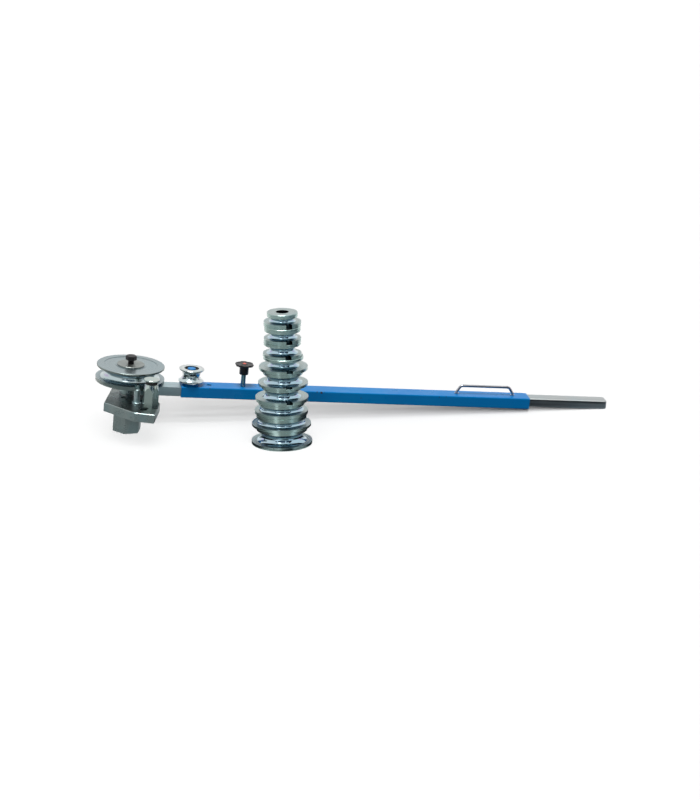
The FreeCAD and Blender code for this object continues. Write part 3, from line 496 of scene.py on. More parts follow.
def turned_former(
    name, centre, leaning, groove, flat_colour, wall_colour, groove_colour, gloss, edge_colour,
    bloom=0.4, slot_turn=None, slot_end=0.0,
):
    """A turned and plated former, by the radius at which its groove opens."""
    made, tree = new_material(name)
    place = lathe_place(tree, centre, leaning)
    marks = use_group(tree, rings_group, Vector=place, Ring_Scale=1100.0)
    look = facing(tree, leaning)
    flat = ramp(tree, maths(tree, "ABSOLUTE", look), 0.94, 0.985)
    outside = maths(tree, "MAXIMUM", flat, ramp(tree, marks["Radius"], groove + 0.0002, groove + 0.0006))
    rim = mix_colour(tree, flat, wall_colour, flat_colour)
    # Painted shade: the groove's faces that look down, under the rims, are painted dark.
    under = mix_colour(tree, ramp(tree, look, -0.75, 0.25), PAINTED_GROOVE_SHADE, groove_colour)
    tint = mix_colour(tree, outside, under, rim)
    lines = ramp(tree, marks["Height"], 0.35, 0.65, 0.80, 1.12)
    on_wall = maths(tree, "MULTIPLY", outside, maths(tree, "SUBTRACT", 1.0, flat))
    lines = mix_colour(tree, on_wall, (1, 1, 1, 1), lines)
    tint = times_colour(tree, tint, lines)
    tint = use_group(tree, bloom_group, Vector=place, Colour=tint, Amount=bloom)["Colour"]
    edge = use_group(tree, edge_group, Vector=place, Width=0.0008)["Mask"]
    tint = mix_colour(tree, edge, tint, edge_colour)
    rough = ramp(tree, outside, 0.0, 1.0, gloss, RIM_ROUGHNESS)
    rough = maths(tree, "MULTIPLY", rough, ramp(tree, marks["Shimmer"], 0.25, 0.75, 0.8, 1.25))
    # Painted shade: the inside of the drive pin's slot is painted near black.
    if slot_turn is not None:
        turned = node(tree, "ShaderNodeMapping", {"Vector": place, "Rotation": (0, 0, -slot_turn)}).outputs[0]
        spot = node(tree, "ShaderNodeSeparateXYZ", {0: turned}).outputs
        beside = ramp(tree, maths(tree, "ABSOLUTE", spot[1]), SLOT_HALF_WIDTH, SLOT_HALF_WIDTH - SHARP)
        along_slot = ramp(tree, spot[0], slot_end - 0.0002, slot_end)
        steep = ramp(tree, maths(tree, "ABSOLUTE", look), 0.5, 0.3)
        low = ramp(tree, marks["Level"], 0.0, -SHARP)
        in_plan = maths(tree, "MULTIPLY", beside, along_slot)
        inside = maths(tree, "MULTIPLY", in_plan, maths(tree, "MULTIPLY", steep, low))
        tint = mix_colour(tree, inside, tint, PAINTED_SLOT_SHADE)
    normal = bump(tree, marks["Height"], RING_DEPTH)
    principled(tree, Base_Color=tint, Metallic=1.0, Roughness=rough, Normal=normal)
    return made


# %% [markdown]
# ## Small turned pieces and the stop post
# The drive pin and the roller are turned too, and their rings run round their own axes. The stop post is a
# hexagon bar with a turned cone, neck and cap. Its facets are smooth. Its neck is painted black, as painted
# shade under the cap, and the material finds it by height and radius, so the post stays one piece.

# %% Turned pins and the stop post
NECK_BOTTOM = 0.048
NECK_TOP = 0.055
NECK_RADIUS = 0.0120
PAINTED_NECK_SHADE = (0.012, 0.012, 0.012, 1)
WORN_STEEL = (0.72, 0.74, 0.74, 1)
WORN_POST = (0.75, 0.80, 0.78, 1)


def turned_metal(name, colour, centre, roughness):
    """Turned and plated steel, with its rings round the piece's own leaning axis."""
    made, tree = new_material(name)
    place = lathe_place(tree, centre, True)
    marks = use_group(tree, rings_group, Vector=place, Ring_Scale=900.0)
    tint = use_group(tree, bloom_group, Vector=place, Colour=colour, Amount=0.4)["Colour"]
    shade = ramp(tree, marks["Shimmer"], 0.3, 0.7, 0.86, 1.08)
    tint = times_colour(tree, tint, shade)
    edge = use_group(tree, edge_group, Vector=place, Width=0.0009)["Mask"]
    tint = mix_colour(tree, edge, tint, WORN_STEEL)
    rough = ramp(tree, marks["Shimmer"], 0.25, 0.75, roughness * 0.75, roughness * 1.35)
    normal = bump(tree, marks["Height"], 0.000006)
    principled(tree, Base_Color=tint, Metallic=1.0, Roughness=rough, Normal=normal)
    return made


def post_metal(name, foot):
    """The stop post: smooth plated facets, and its neck under the cap painted black and dull, as painted
    shade.
    """
    made, tree = new_material(name)
    place = lathe_place(tree, foot, True)
    marks = use_group(tree, rings_group, Vector=place, Ring_Scale=700.0)
    steel = (0.44, 0.51, 0.47, 1)
    tint = use_group(tree, bloom_group, Vector=place, Scale=40.0, Colour=steel, Amount=0.3)["Colour"]
    edge = use_group(tree, edge_group, Vector=place, Width=0.0010)["Mask"]
    tint = mix_colour(tree, edge, tint, WORN_POST)
    # Painted shade: the neck under the cap is painted black and dull, for the shade that falls into it.
    above = ramp(tree, marks["Level"], NECK_BOTTOM, NECK_BOTTOM + 0.0002)
    below = ramp(tree, marks["Level"], NECK_TOP, NECK_TOP - 0.0002)
    within = ramp(tree, marks["Radius"], NECK_RADIUS + 0.0002, NECK_RADIUS)
    neck = maths(tree, "MULTIPLY", maths(tree, "MULTIPLY", above, below), within)
    tint = mix_colour(tree, neck, tint, PAINTED_NECK_SHADE)
    rough = ramp(tree, noise(tree, place, 70.0, 3.0), 0.3, 0.7, 0.17, 0.21)
    rough = maths(tree, "ADD", rough, maths(tree, "MULTIPLY", neck, 0.4))
    normal = bump(tree, noise(tree, place, 900.0, 2.0), 0.000001)
    metal = maths(tree, "SUBTRACT", 1.0, neck)
    principled(tree, Base_Color=tint, Metallic=metal, Roughness=rough, Normal=normal)
    return made


# %% [markdown]
# ## Bar, plate and plain metal
# The lever and its grip are drawn flat bar, so their streaks run along the tool. The plate and the stub
# are sawn and milled, dull, with a fine grain, and the plate's top is painted darker than its edges, as
# painted shade under the former. Ground, blackened and bronze parts differ only in colour and gloss, so
# one short material serves them all.

# %% Drawn bar, milled plate and plain metal
WORN_BAR = (0.75, 0.76, 0.75, 1)
WORN_BLOCK = (0.36, 0.39, 0.37, 1)
BAR_ROUGHNESS = 0.34
BLOCK_ROUGHNESS = 0.31


def rolled_metal(name, colour):
    """Drawn flat bar, with its streaks along the lever."""
    made, tree = new_material(name)
    place = tool_place(tree)
    lines = use_group(tree, drawn_group, Vector=place)
    tint = use_group(tree, bloom_group, Vector=place, Colour=colour, Amount=0.25)["Colour"]
    shade = ramp(tree, lines["Streak"], 0.3, 0.7, 0.82, 1.1)
    tint = times_colour(tree, tint, shade)
    edge = use_group(tree, edge_group, Vector=place, Width=0.001)["Mask"]
    tint = mix_colour(tree, edge, tint, WORN_BAR)
    rough = ramp(tree, lines["Streak"], 0.25, 0.75, BAR_ROUGHNESS * 0.8, BAR_ROUGHNESS * 1.3)
    normal = bump(tree, lines["Height"], 0.00001)
    principled(tree, Base_Color=tint, Metallic=1.0, Roughness=rough, Normal=normal)
    return made


def plated_block(name, colour, painted_top_shade=1.0):
    """Sawn and milled steel, zinc-plated, with a fine grain and worn edges, and its top painted darker by a
    factor, as painted shade.
    """
    made, tree = new_material(name)
    place = tool_place(tree)
    tint = use_group(tree, bloom_group, Vector=place, Scale=26.0, Colour=colour, Amount=0.35)["Colour"]
    # Painted shade: faces that look up the tool's axis are painted darker by this factor.
    painted_top_darkening = ramp(tree, facing(tree, True), 0.9, 0.98, 1.0, painted_top_shade)
    tint = times_colour(tree, tint, painted_top_darkening)
    grain = noise(tree, place, 420.0, 6.0, 0.7)
    shade = ramp(tree, grain, 0.3, 0.7, 0.85, 1.12)
    tint = times_colour(tree, tint, shade)
    edge = use_group(tree, edge_group, Vector=place, Width=0.0011)["Mask"]
    tint = mix_colour(tree, edge, tint, WORN_BLOCK)
    rough = ramp(tree, noise(tree, place, 60.0, 4.0), 0.3, 0.7, BLOCK_ROUGHNESS * 0.8, BLOCK_ROUGHNESS * 1.25)
    rough = maths(tree, "ADD", rough, maths(tree, "MULTIPLY", edge, 0.3))
    normal = bump(tree, grain, 0.00003)
    principled(tree, Base_Color=tint, Metallic=1.0, Roughness=rough, Normal=normal)
    return made


def plain_metal(name, colour, roughness=0.3, metallic=1.0):
    """Ground, blackened or cast metal, with an even grain."""
    made, tree = new_material(name)
    place = tool_place(tree)
    grain = noise(tree, place, 500.0, 4.0, 0.6)
    shade = ramp(tree, grain, 0.3, 0.7, 0.82, 1.15)
    tint = times_colour(tree, colour, shade)
    rough = ramp(tree, noise(tree, place, 90.0, 3.0), 0.3, 0.7, roughness * 0.8, roughness * 1.25)
    principled(tree, Base_Color=tint, Metallic=metallic, Roughness=rough, Normal=bump(tree, grain, 0.00001))
    return made


# %% [markdown]
# ## Paint and plastic
# The sleeve and the roller's stud are sprayed with blue enamel. Spray leaves a faint orange peel, paint is
# thin and lighter over sharp edges, and knocks chip it down to the dark steel. The larger chips lie where
# the sleeve has been struck, and the rest fall along its edges by chance. A painted picture would need an
# unwrapped mesh, while noise and distances need none. The knob is black plastic, its button orange-red.

# %% Enamel and moulded plastic
PAINT_BLUE = (0.0, 0.19, 0.53, 1)
PALE_BLUE = (0.0, 0.21, 0.56, 1)
THIN_BLUE = (0.03, 0.38, 0.75, 1)
BARE_STEEL = (0.05, 0.055, 0.05, 1)
RAGGED = 0.008
CHIP_EDGE = 0.0005
# Where the front of the sleeve is chipped, in metres in the tool's own directions, and how large
PAINT_CHIPS = (
    ((0.3715, -0.020, 0.0985), 0.0016),
    ((0.3800, -0.020, 0.0965), 0.0028),
    ((0.3855, -0.020, 0.0985), 0.0014),
    ((0.6190, -0.020, 0.0965), 0.0012),
    ((0.6330, -0.020, 0.0975), 0.0014),
    ((0.4600, -0.020, 0.0885), 0.0012),
    ((0.1560, -0.020, 0.0980), 0.0012),
)


def blue_enamel(name):
    """Sprayed blue enamel over steel tube, with chips along its edges."""
    made, tree = new_material(name)
    place = tool_place(tree)
    cloud = noise(tree, place, 7.0, 2.0)
    tint = mix_colour(tree, ramp(tree, cloud, 0.35, 0.65), PAINT_BLUE, PALE_BLUE)
    peel = noise(tree, place, 700.0, 2.0)
    worn = use_group(tree, edge_group, Vector=place, Width=0.0016)["Mask"]
    spots = ramp(tree, noise(tree, place, 46.0, 5.0, 0.65), 0.63, 0.66)
    chip = maths(tree, "MULTIPLY", worn, spots)
    ragged = maths(tree, "MULTIPLY", noise(tree, place, 320.0, 4.0, 0.7), RAGGED)
    for spot, size in PAINT_CHIPS:
        reach = maths(tree, "ADD", vector_maths(tree, "DISTANCE", place, spot)["Value"], ragged)
        outer = size + RAGGED / 2
        chip = maths(tree, "MAXIMUM", chip, ramp(tree, reach, outer, outer - CHIP_EDGE))
    tint = mix_colour(tree, maths(tree, "MULTIPLY", worn, 0.35), tint, THIN_BLUE)
    tint = mix_colour(tree, chip, tint, BARE_STEEL)
    rough = ramp(tree, noise(tree, place, 35.0, 3.0), 0.3, 0.7, 0.26, 0.38)
    height = maths(tree, "SUBTRACT", maths(tree, "MULTIPLY", peel, 0.06), chip)
    normal = bump(tree, height, 0.00008)
    metal = maths(tree, "MULTIPLY", chip, 0.8)
    principled(tree, Base_Color=tint, Metallic=metal, Roughness=rough, Specular_IOR_Level=0.11, Normal=normal)
    return made


def moulded_plastic(name, colour, roughness):
    """Moulded plastic with the fine grain of its mould."""
    made, tree = new_material(name)
    place = tool_place(tree)
    grain = noise(tree, place, 1300.0, 3.0)
    shade = ramp(tree, noise(tree, place, 120.0, 3.0), 0.3, 0.7, 0.85, 1.2)
    tint = times_colour(tree, colour, shade)
    rough = ramp(tree, grain, 0.3, 0.7, roughness * 0.85, roughness * 1.2)
    normal = bump(tree, grain, 0.00003)
    principled(tree, Base_Color=tint, Roughness=rough, Specular_IOR_Level=0.3, Normal=normal)
    return made


# %% [markdown]
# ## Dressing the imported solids
# Each solid keeps its mesh and gets one finish. The formers need their own values, because each groove
# opens at its own radius and each slot ends at its own depth.

# %% Give each solid its finish
def dress(material, *names):
    """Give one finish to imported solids."""
    for name in names:
        mesh = frame["nodes"][name].data
        mesh.materials.clear()
        mesh.materials.append(material)


FLAT_COLOUR = (0.32, 0.39, 0.38, 1)
WALL_COLOUR = (0.40, 0.52, 0.48, 1)
GROOVE_COLOUR = (0.42, 0.55, 0.62, 1)
DISC_COLOUR = (0.265, 0.33, 0.345, 1)
# The head former's walls are painted dark, as a painted dark reflection.
DISC_WALL_PAINTED_REFLECTION = (0.20, 0.235, 0.22, 1)
DISC_GROOVE = (0.48, 0.56, 0.57, 1)
SPARE_EDGE = (0.62, 0.67, 0.65, 1)
DISC_EDGE = (0.26, 0.29, 0.28, 1)
HEAD_GROOVE_RADIUS = 0.0615
HEAD_AXIS = (0, 0, 0)
STOP_POST_FOOT = (0.03304, -0.08656, 0.076)

# The upper formers turn their slots to the camera, each a little differently, and the rest away from it.
# All in degrees round the former's own axis.
FRONT_SLOTS = 6
SLOT_AZIMUTH = -80
SLOT_SWAY = 4
AWAY = 100

# Radius in metres where each spare former's groove opens, the height of its lower flange, and where its
# slot for the drive pin ends
SPARE_ZONES = (
    (0.0272, 0.0090, 0.0248), (0.0309, 0.0076, 0.0248), (0.0327, 0.0056, 0.0248),
    (0.0327, 0.0064, 0.0368), (0.0378, 0.0052, 0.0368), (0.0375, 0.0072, 0.0368),
    (0.0440, 0.0070, 0.0368), (0.0479, 0.0050, 0.0368), (0.0486, 0.0064, 0.0368),
)


def middle(name):
    low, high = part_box(name)
    return (low + high) / 2


dress(plated_block("zinc_plated_block", (0.29, 0.335, 0.325, 1)), "vise_stub")
# The plate's top is painted half as bright, as painted shade under the former.
dress(plated_block("zinc_plated_plate", (0.31, 0.36, 0.35, 1), painted_top_shade=0.5), "base_plate")
dress(plated_block("zinc_plated_hub", (0.40, 0.47, 0.45, 1)), "lever_hub")
dress(rolled_metal("rolled_bar_steel", (0.35, 0.465, 0.49, 1)), "lever_bar")
dress(rolled_metal("rolled_grip_steel", (0.43, 0.46, 0.46, 1)), "grip_bar")
disc_finish = turned_former(
    "turned_head_former", HEAD_AXIS, True, HEAD_GROOVE_RADIUS,
    DISC_COLOUR, DISC_WALL_PAINTED_REFLECTION, DISC_GROOVE, 0.17, DISC_EDGE, bloom=0.2,
)
dress(disc_finish, "mounted_former")
post_foot = TOOL @ Vector(STOP_POST_FOOT)
dress(post_metal("plated_stop_post", tuple(post_foot)), "stop_post")
for name, finish_name, colour, roughness in (
    ("drive_pin", "turned_drive_pin", (0.42, 0.53, 0.52, 1), 0.36),
    ("counter_roller", "turned_roller", (0.60, 0.64, 0.63, 1), 0.19),
):
    dress(turned_metal(finish_name, colour, tuple(middle(name)), roughness), name)
for number, (groove, flange, slot_end) in enumerate(SPARE_ZONES, 1):
    name = "spare_former_%d" % number
    low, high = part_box(name)
    centre = ((low.x + high.x) / 2, (low.y + high.y) / 2, low.z + flange)
    slot_azimuth = SLOT_AZIMUTH + SLOT_SWAY * math.sin(number) if number <= FRONT_SLOTS else AWAY
    finish = turned_former(
        "turned_former_%d" % number, centre, False, groove,
        FLAT_COLOUR, WALL_COLOUR, GROOVE_COLOUR, 0.09, SPARE_EDGE,
        slot_turn=math.radians(slot_azimuth), slot_end=slot_end,
    )
    dress(finish, name)
dress(
    plain_metal("ground_steel", (0.55, 0.56, 0.57, 1)),
    "centre_post", "thrust_washer", "former_seat_washer", "handle_nuts", "lock_balls", "lock_spindle",
)
dress(plain_metal("pin_shank_steel", (0.13, 0.25, 0.29, 1), 0.2), "lock_pin_shank")
dress(plain_metal("washer_steel", (0.26, 0.285, 0.272, 1), 0.42), "clamp_washer")
black_steel = plain_metal("black_oxide_steel", (0.012, 0.012, 0.013, 1), 0.5, 0.3)
dress(black_steel, "former_bolt", "roller_circlip")
dress(plain_metal("handle_wire_steel", (0.42, 0.43, 0.46, 1), 0.2), "carry_handle")
dress(plain_metal("bearing_bronze", (0.48, 0.28, 0.11, 1), 0.35), "hub_bush", "roller_bush")
dress(plain_metal("spring_steel", (0.35, 0.35, 0.37, 1), 0.3), "lock_spring")
enamel = blue_enamel("blue_enamel")
black_plastic = moulded_plastic("black_moulded_plastic", (0.016, 0.016, 0.018, 1), 0.38)
weld_steel = plain_metal("weld_steel", (0.24, 0.27, 0.27, 1), 0.38)
dress(enamel, "sleeve_tube", "roller_stud")
dress(black_plastic, "lock_pin_grip")
dress(moulded_plastic("orange_red_plastic", (0.75, 0.085, 0.045, 1), 0.3), "lock_button")
print("solids dressed:", sum(bool(item.data.materials) for item in frame["nodes"].values()))

# %% [markdown]
# ## Pieces modelled by hand
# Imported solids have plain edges. A moulded knob, a screw thread and weld beads gain from hand modelling.
# Each is modelled upright, at the tool's own levels, and then laid over with the tool by one matrix.

# %% Modelling helpers
def select_nothing():
    """Leave edit mode and let go of every object."""
    if bpy.context.mode != "OBJECT":
        bpy.ops.object.mode_set(mode="OBJECT")
    bpy.ops.object.select_all(action="DESELECT")


def only(*objects):
    """Select these objects alone, the first of them active."""
    select_nothing()
    for item in objects:
        item.select_set(True)
    bpy.context.view_layer.objects.active = objects[0]


def pick(obj, kind, test):
    """In edit mode, select faces by middle and normal, edges by their two ends, or vertices by place."""
    only(obj)
    bpy.ops.object.mode_set(mode="EDIT")
    bpy.ops.mesh.select_mode(type=kind)
    bpy.ops.mesh.select_all(action="DESELECT")
    bpy.ops.object.mode_set(mode="OBJECT")
    mesh = obj.data
    if kind == "FACE":
        for face in mesh.polygons:
            face.select = test(face.center, face.normal)
    elif kind == "EDGE":
        for edge in mesh.edges:
            edge.select = test(*(mesh.vertices[index].co for index in edge.vertices))
    else:
        for vertex in mesh.vertices:
            vertex.select = test(vertex.co)
    bpy.ops.object.mode_set(mode="EDIT")


def extrude(rise):
    bpy.ops.mesh.extrude_region_move(TRANSFORM_OT_translate={"value": (0, 0, rise)})


def widen(factor):
    bpy.ops.transform.resize(value=(factor, factor, 1), center_override=(0, 0, 0))


def apply_modifier(obj, modifier):
    only(obj)
    bpy.ops.object.modifier_apply(modifier=modifier.name)


def tidy_faces(obj, angle=35):
    """Merge what lies together, turn all faces outward, and shade edges below an angle smooth."""
    pick(obj, "VERT", lambda spot: True)
    bpy.ops.mesh.remove_doubles(threshold=0.004 * MM)
    bpy.ops.mesh.dissolve_degenerate(threshold=0.004 * MM)
    bpy.ops.mesh.normals_make_consistent(inside=False)
    only(obj)
    bpy.ops.object.shade_smooth_by_angle(angle=math.radians(angle))


def lay_over(obj, x=0.0, y=0.0, turn=0.0):
    """Put a piece that stands on the tool's axis in its place on the leaning tool."""
    only(obj)
    obj.matrix_world = TOOL @ Matrix.Translation((x, y, 0)) @ Matrix.Rotation(turn, 4, "Z") @ obj.matrix_world
    bpy.ops.object.transform_apply(location=True, rotation=True, scale=True)


def finish_piece(obj, material, body):
    """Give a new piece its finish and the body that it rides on."""
    obj.data.materials.clear()
    obj.data.materials.append(material)
    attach(obj, body)
    print(obj.name, "has", len(obj.data.polygons), "faces")


def from_axis(spot):
    return math.hypot(spot.x, spot.y)


def upright_cylinder(name, radius, low, high, sides):
    """A cylinder on the tool's axis between two heights, with its place in its mesh."""
    select_nothing()
    place = (0, 0, (low + high) / 2)
    bpy.ops.mesh.primitive_cylinder_add(vertices=sides, radius=radius, depth=high - low, location=place)
    made = bpy.context.object
    made.name = name
    bpy.ops.object.transform_apply(location=True)
    return made


def round_edges(obj, test, size, segments):
    """Bevel the edges that pass a test."""
    pick(obj, "EDGE", test)
    bpy.ops.mesh.bevel(offset=size, segments=segments, affect="EDGES")


def level_with(height):
    """A test for edges that lie at one height."""
    return lambda a, b: abs(a.z - height) < 0.01 * MM and abs(b.z - height) < 0.01 * MM


# %% [markdown]
# ## The knob
# The knob of the locking pin is a plastic moulding, so no edge of it is sharp. It starts as a cylinder for
# the neck, and the cap is extruded and widened from its top. Insets make the dished top and the ring round
# the button. The bore is cut through by joining a hole in the top to one in the foot. The finger scallops
# are pushed in from the rim with a soft reach, which cut cylinders would not give.

# %% The knob of the locking pin
KNOB_FOOT = 124.0 * MM
KNOB_SHOULDER = 139.0 * MM
KNOB_RIM = 142.0 * MM
KNOB_TOP = 145.5 * MM
KNOB_LEDGE = 141.5 * MM
NECK = 9.0 * MM
CAP = 18.5 * MM
BORE = 4.72 * MM
DISH = 0.7 * MM
CAP_RIM_WIDTH = 3.0 * MM
DISH_SLOPE = 1.2 * MM
DISH_FLOOR = 7.6 * MM
BOSS_SLOPE = 0.8 * MM
BOSS_WIDTH = 2.5 * MM

knob = upright_cylinder("moulded_knob", NECK, KNOB_FOOT, KNOB_SHOULDER, 96)
pick(knob, "FACE", lambda spot, normal: normal.z > 0.9)
extrude(KNOB_RIM - KNOB_SHOULDER)
widen(CAP / NECK)
extrude(KNOB_TOP - KNOB_RIM)
bpy.ops.mesh.inset(thickness=CAP_RIM_WIDTH)
bpy.ops.mesh.inset(thickness=DISH_SLOPE)
bpy.ops.transform.translate(value=(0, 0, -DISH))
bpy.ops.mesh.inset(thickness=DISH_FLOOR)
bpy.ops.mesh.inset(thickness=BOSS_SLOPE)
bpy.ops.transform.translate(value=(0, 0, DISH))
bpy.ops.mesh.inset(thickness=BOSS_WIDTH)
extrude(KNOB_LEDGE - KNOB_TOP)
pick(knob, "FACE", lambda spot, normal: normal.z < -0.9 and spot.z < KNOB_FOOT + 0.01 * MM)
bpy.ops.mesh.inset(thickness=NECK - BORE)
extrude(KNOB_LEDGE - KNOB_FOOT)
pick(knob, "FACE", lambda spot, normal: abs(spot.z - KNOB_LEDGE) < 0.01 * MM and abs(normal.z) > 0.9)
bpy.ops.mesh.delete(type="FACE")
pick(knob, "EDGE", level_with(KNOB_LEDGE))
bpy.ops.mesh.bridge_edge_loops()
print("knob before its scallops:", len(knob.data.polygons), "faces")

# %% Its finger scallops and soft edges
SCALLOPS = 6
SCALLOP_DEPTH = 1.6 * MM
SCALLOP_REACH = 5.5 * MM
COLUMN_HALF_WIDTH = 0.4 * MM
RIM_NEAREST = 16.4 * MM
CLOSE = 0.1 * MM
RIM_ROUNDING = 1.1 * MM
SHOULDER_ROUNDING = 1.6 * MM
FOOT_ROUNDING = 0.6 * MM


def on_rim(spot, direction):
    """Whether a point of the cap's rim lies in this direction from the axis."""
    beside = direction.cross(Vector((spot.x, spot.y, 0))).z
    return from_axis(spot) > CAP - 0.3 * MM and spot.dot(direction) > 0 and abs(beside) < COLUMN_HALF_WIDTH


def ring_edge(height, nearest):
    """A test for edges at one height that keep at least this far from the axis."""
    return lambda a, b: level_with(height)(a, b) and min(from_axis(a), from_axis(b)) > nearest


def foot_edge(a, b):
    """The foot's outer ring, told by one end alone: radial edges come along, so faces overlap there."""
    return level_with(KNOB_FOOT)(a, b) and from_axis(a) > NECK - CLOSE


for number in range(SCALLOPS):
    direction = Quaternion((0, 0, 1), 2 * math.pi * number / SCALLOPS) @ Vector((1, 0, 0))
    pick(knob, "VERT", lambda spot: on_rim(spot, direction))
    bpy.ops.transform.translate(
        value=direction * -SCALLOP_DEPTH,
        use_proportional_edit=True,
        proportional_edit_falloff="SMOOTH",
        proportional_size=SCALLOP_REACH,
    )
for height in (KNOB_RIM, KNOB_TOP):
    round_edges(knob, ring_edge(height, RIM_NEAREST), RIM_ROUNDING, 3)
round_edges(knob, ring_edge(KNOB_SHOULDER, NECK - CLOSE), SHOULDER_ROUNDING, 4)
round_edges(knob, foot_edge, FOOT_ROUNDING, 2)
tidy_faces(knob)
lock = TO_TOOL @ middle("lock_pin_shank")
lay_over(knob, lock.x, lock.y)
finish_piece(knob, black_plastic, "lock_pin")
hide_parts("lock_pin_grip")

# %% [markdown]
# ## The bolt
# The bolt that holds the former stands a few threads out of the post, so its thread is in sight. A real
# thread is cut or rolled as a helix, and here one tooth is run up a helix by a Screw modifier, because a
# bump texture would leave the bolt's outline straight. The head is a hexagon whose corners a lathe has
# taken off, so a turned cone cuts it.

# %% The thread and the shank
BOLT_SEAT = 145.5 * MM
BOLT_TOP = 154.0 * MM
BOLT_TIP = 100.5 * MM
THREAD_START = 136.4 * MM
PITCH = 1.75 * MM
TURNS = 6
CREST = 5.98 * MM
ROOT = 4.95 * MM
CREST_SHARE = 0.14
THREAD_STEPS = 40
tooth_middle = THREAD_START + PITCH / 2
tooth_place = ((CREST + ROOT) / 2, 0, tooth_middle)

select_nothing()
bpy.ops.mesh.primitive_plane_add(size=1, rotation=(math.pi / 2, 0, 0), location=tooth_place)
thread = bpy.context.object
thread.scale = (CREST - ROOT, PITCH, 1)
bpy.ops.object.transform_apply(location=True, rotation=True, scale=True)
pick(thread, "EDGE", lambda a, b: min(a.x, b.x) > CREST - 0.01 * MM)
bpy.ops.transform.resize(value=(1, 1, CREST_SHARE), center_override=(CREST, 0, tooth_middle))
pick(thread, "FACE", lambda spot, normal: True)
bpy.ops.mesh.delete(type="ONLY_FACE")
pick(thread, "EDGE", lambda a, b: max(a.x, b.x) < ROOT + 0.01 * MM)
bpy.ops.mesh.delete(type="EDGE")
only(thread)
helix = thread.modifiers.new("helix", "SCREW")
helix.axis = "Z"
helix.steps = THREAD_STEPS
helix.render_steps = THREAD_STEPS
helix.screw_offset = PITCH
helix.iterations = TURNS
apply_modifier(thread, helix)
pick(thread, "VERT", lambda spot: True)
bpy.ops.mesh.remove_doubles(threshold=0.01 * MM)
bpy.ops.mesh.fill_holes(sides=0)
tidy_faces(thread, 50)

shank = upright_cylinder("bolt_shank", CREST, BOLT_TIP, tooth_middle, 48)
round_edges(shank, level_with(BOLT_TIP), 1.0 * MM, 1)
tidy_faces(shank)
print("thread:", TURNS, "turns of", round(PITCH / MM, 2), "mm")

# %% The hexagon head
HEAD_FLATS = 19.0 * MM
CORNER_DROP = 2.5 * MM
FACE_RADIUS = 9.0 * MM
CONE_RADIUS = 12.0 * MM


def side_angle(obj, to_tool):
    """The azimuth of a hexagon's sides, between 0 and 60 degrees."""
    sides = [face for face in obj.data.polygons if abs((to_tool @ face.normal).z) < 0.1]
    normal = to_tool @ max(sides, key=lambda face: face.area).normal
    return math.atan2(normal.y, normal.x) % math.radians(60)


head_corner = HEAD_FLATS / 2 / math.cos(math.radians(30))
bolt = upright_cylinder("threaded_bolt", head_corner, BOLT_SEAT, BOLT_TOP, 6)
packed_turn = side_angle(frame["nodes"]["former_bolt"], TO_TOOL.to_3x3())
bolt.rotation_euler.z = packed_turn - side_angle(bolt, Matrix.Identity(3))
bpy.ops.object.transform_apply(rotation=True)
cone = upright_cylinder("corner_cone", CONE_RADIUS, BOLT_SEAT - 1.0 * MM, BOLT_TOP - CORNER_DROP, 64)
pick(cone, "FACE", lambda spot, normal: normal.z > 0.9)
extrude(CORNER_DROP + 0.02 * MM)
widen(FACE_RADIUS / CONE_RADIUS)
only(bolt)
corners = bolt.modifiers.new("corners", "BOOLEAN")
corners.operation = "INTERSECT"
corners.object = cone
corners.solver = "EXACT"
apply_modifier(bolt, corners)
bpy.data.objects.remove(cone)
tidy_faces(bolt, 20)
only(bolt, thread, shank)
bpy.ops.object.join()
lay_over(bolt)
finish_piece(bolt, black_steel, "base")
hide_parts("former_bolt")

# %% [markdown]
# ## Weld beads
# The stub is welded under its plate, the flat bar to its hub, and the roller's stud to the sleeve. A weld
# is laid in small steps, and each leaves a ripple. A run starts as a straight round bar that is cut into
# rings, and every third ring is drawn in. Six short runs go round the hexagon stub, while longer ones are
# bent round the hub and round the foot of the stud. Noise would ripple at random, while a welder keeps a
# steady step. The stud's weld is painted with the sleeve.

# %% One run of weld
RIPPLE = 0.5 * MM
NARROW = 0.82
TAPER = 0.6
SMOOTH_BELOW = 60


def weld_run(name, length, radius, closed=False):
    """A straight run of weld along X, closed for a ring or with tapered ends."""
    select_nothing()
    lying = (0, math.pi / 2, 0)
    bpy.ops.mesh.primitive_cylinder_add(vertices=12, radius=radius, depth=length, rotation=lying)
    run = bpy.context.object
    run.name = name
    bpy.ops.object.transform_apply(rotation=True)
    cuts = round(length / RIPPLE / 3) * 3 - 1
    step = length / (cuts + 1)
    pick(run, "EDGE", lambda a, b: abs(a.x - b.x) > length / 2)
    bpy.ops.mesh.subdivide(number_cuts=cuts)
    pick(run, "VERT", lambda spot: round((spot.x + length / 2) / step) % 3 == 0)
    bpy.ops.transform.resize(value=(1, NARROW, NARROW), center_override=(0, 0, 0))
    pick(run, "FACE", lambda spot, normal: abs(spot.x) > length / 2 - step / 4)
    if closed:
        bpy.ops.mesh.delete(type="FACE")
    else:
        bpy.ops.transform.resize(value=(1, TAPER, TAPER), center_override=(0, 0, 0))
    only(run)
    return run


def bend_run(run, length, angle):
    """Bend a run round the axis, with its middle towards positive X."""
    only(run)
    bend = run.modifiers.new("bend", "SIMPLE_DEFORM")
    bend.deform_method = "BEND"
    bend.deform_axis = "Z"
    bend.angle = angle
    apply_modifier(run, bend)
    farthest = max((vertex.co.y for vertex in run.data.vertices), key=abs)
    radius = math.copysign(length / angle, farthest)
    run.location.y = -radius
    bpy.ops.object.transform_apply(location=True)
    run.rotation_euler.z = math.copysign(math.pi / 2, radius)
    bpy.ops.object.transform_apply(rotation=True)
    pick(run, "VERT", lambda spot: True)
    bpy.ops.mesh.remove_doubles(threshold=0.02 * MM)
    only(run)


def raise_to(obj, height):
    """Lift a piece that lies at the level of the origin."""
    only(obj)
    obj.location.z = height
    bpy.ops.object.transform_apply(location=True)


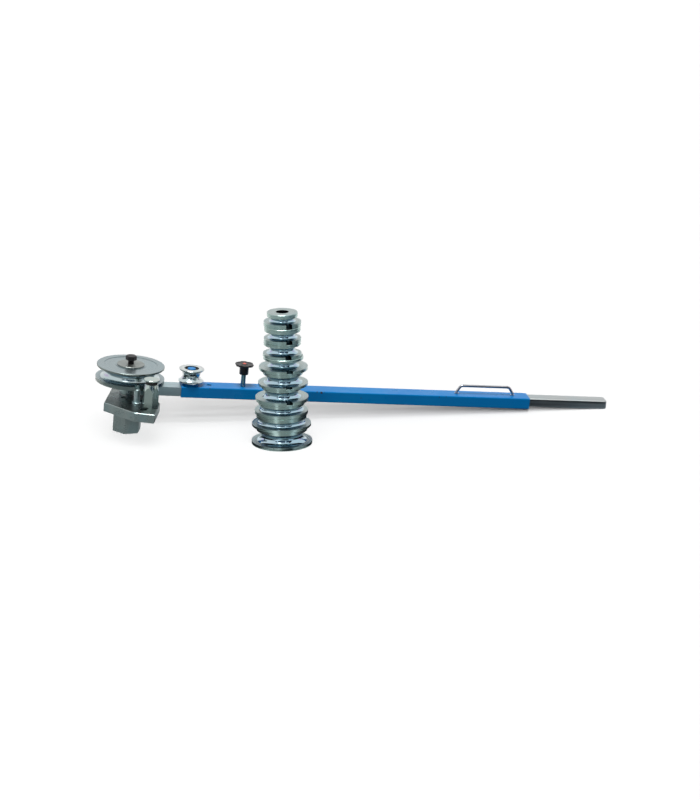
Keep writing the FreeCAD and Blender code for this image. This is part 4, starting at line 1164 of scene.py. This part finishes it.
# %% Six runs under the plate
STUB_FLATS = 51.0 * MM
PLATE_FOOT = 58.0 * MM
OUT_OF_CORNER = 0.3 * MM
SIDES = 6
stub_turn = side_angle(frame["nodes"]["vise_stub"], TO_TOOL.to_3x3())
side_length = STUB_FLATS * math.tan(math.radians(30))
stub_weld = weld_run("stub_weld", side_length, 1.9 * MM)
stub_weld.rotation_euler.z = math.pi / 2
stub_weld.location = (STUB_FLATS / 2 + OUT_OF_CORNER, 0, PLATE_FOOT - OUT_OF_CORNER)
bpy.ops.object.transform_apply(location=True, rotation=True)
runs = [stub_weld]
for number in range(1, SIDES):
    copy = stub_weld.copy()
    copy.data = stub_weld.data.copy()
    bpy.context.scene.collection.objects.link(copy)
    copy.rotation_euler.z = 2 * math.pi * number / SIDES
    runs.append(copy)
only(*runs)
bpy.ops.object.transform_apply(rotation=True)
bpy.ops.object.join()
tidy_faces(stub_weld, SMOOTH_BELOW)
lay_over(stub_weld, turn=stub_turn)
finish_piece(stub_weld, weld_steel, "base")

# %% Round the hub and round the stud's foot
HUB_RADIUS = 19.0 * MM
BAR_TOP = 97.0 * MM
BAR_HALF_WIDTH = 17.0 * MM
OUTSIDE = 0.4 * MM
hub_angle = 2 * math.asin(BAR_HALF_WIDTH / HUB_RADIUS)
hub_length = hub_angle * (HUB_RADIUS + OUTSIDE)
hub_weld = weld_run("hub_weld", hub_length, 1.7 * MM)
bend_run(hub_weld, hub_length, hub_angle)
raise_to(hub_weld, BAR_TOP + OUT_OF_CORNER)
tidy_faces(hub_weld, SMOOTH_BELOW)
lay_over(hub_weld)
finish_piece(hub_weld, weld_steel, "lever")

STUD_FOOT = 15.0 * MM
TUBE_TOP = 99.0 * MM
stud_length = 2 * math.pi * (STUD_FOOT + OUTSIDE)
stud_weld = weld_run("stud_weld", stud_length, 1.6 * MM, closed=True)
bend_run(stud_weld, stud_length, 2 * math.pi)
raise_to(stud_weld, TUBE_TOP + 0.2 * MM)
tidy_faces(stud_weld, SMOOTH_BELOW)
stud = TO_TOOL @ middle("roller_stud")
lay_over(stud_weld, stud.x, stud.y)
finish_piece(stud_weld, enamel, "sleeve")

# %% [markdown]
# ## Colours and sizes
# The colours above are measured against a plain photograph, so the picture is shown without a film look.
# The bounds of the dressed tool are measured.

# %% Colours come out as they are written
bpy.context.scene.view_settings.view_transform = "Standard"

# %% Sizes
low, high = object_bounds()
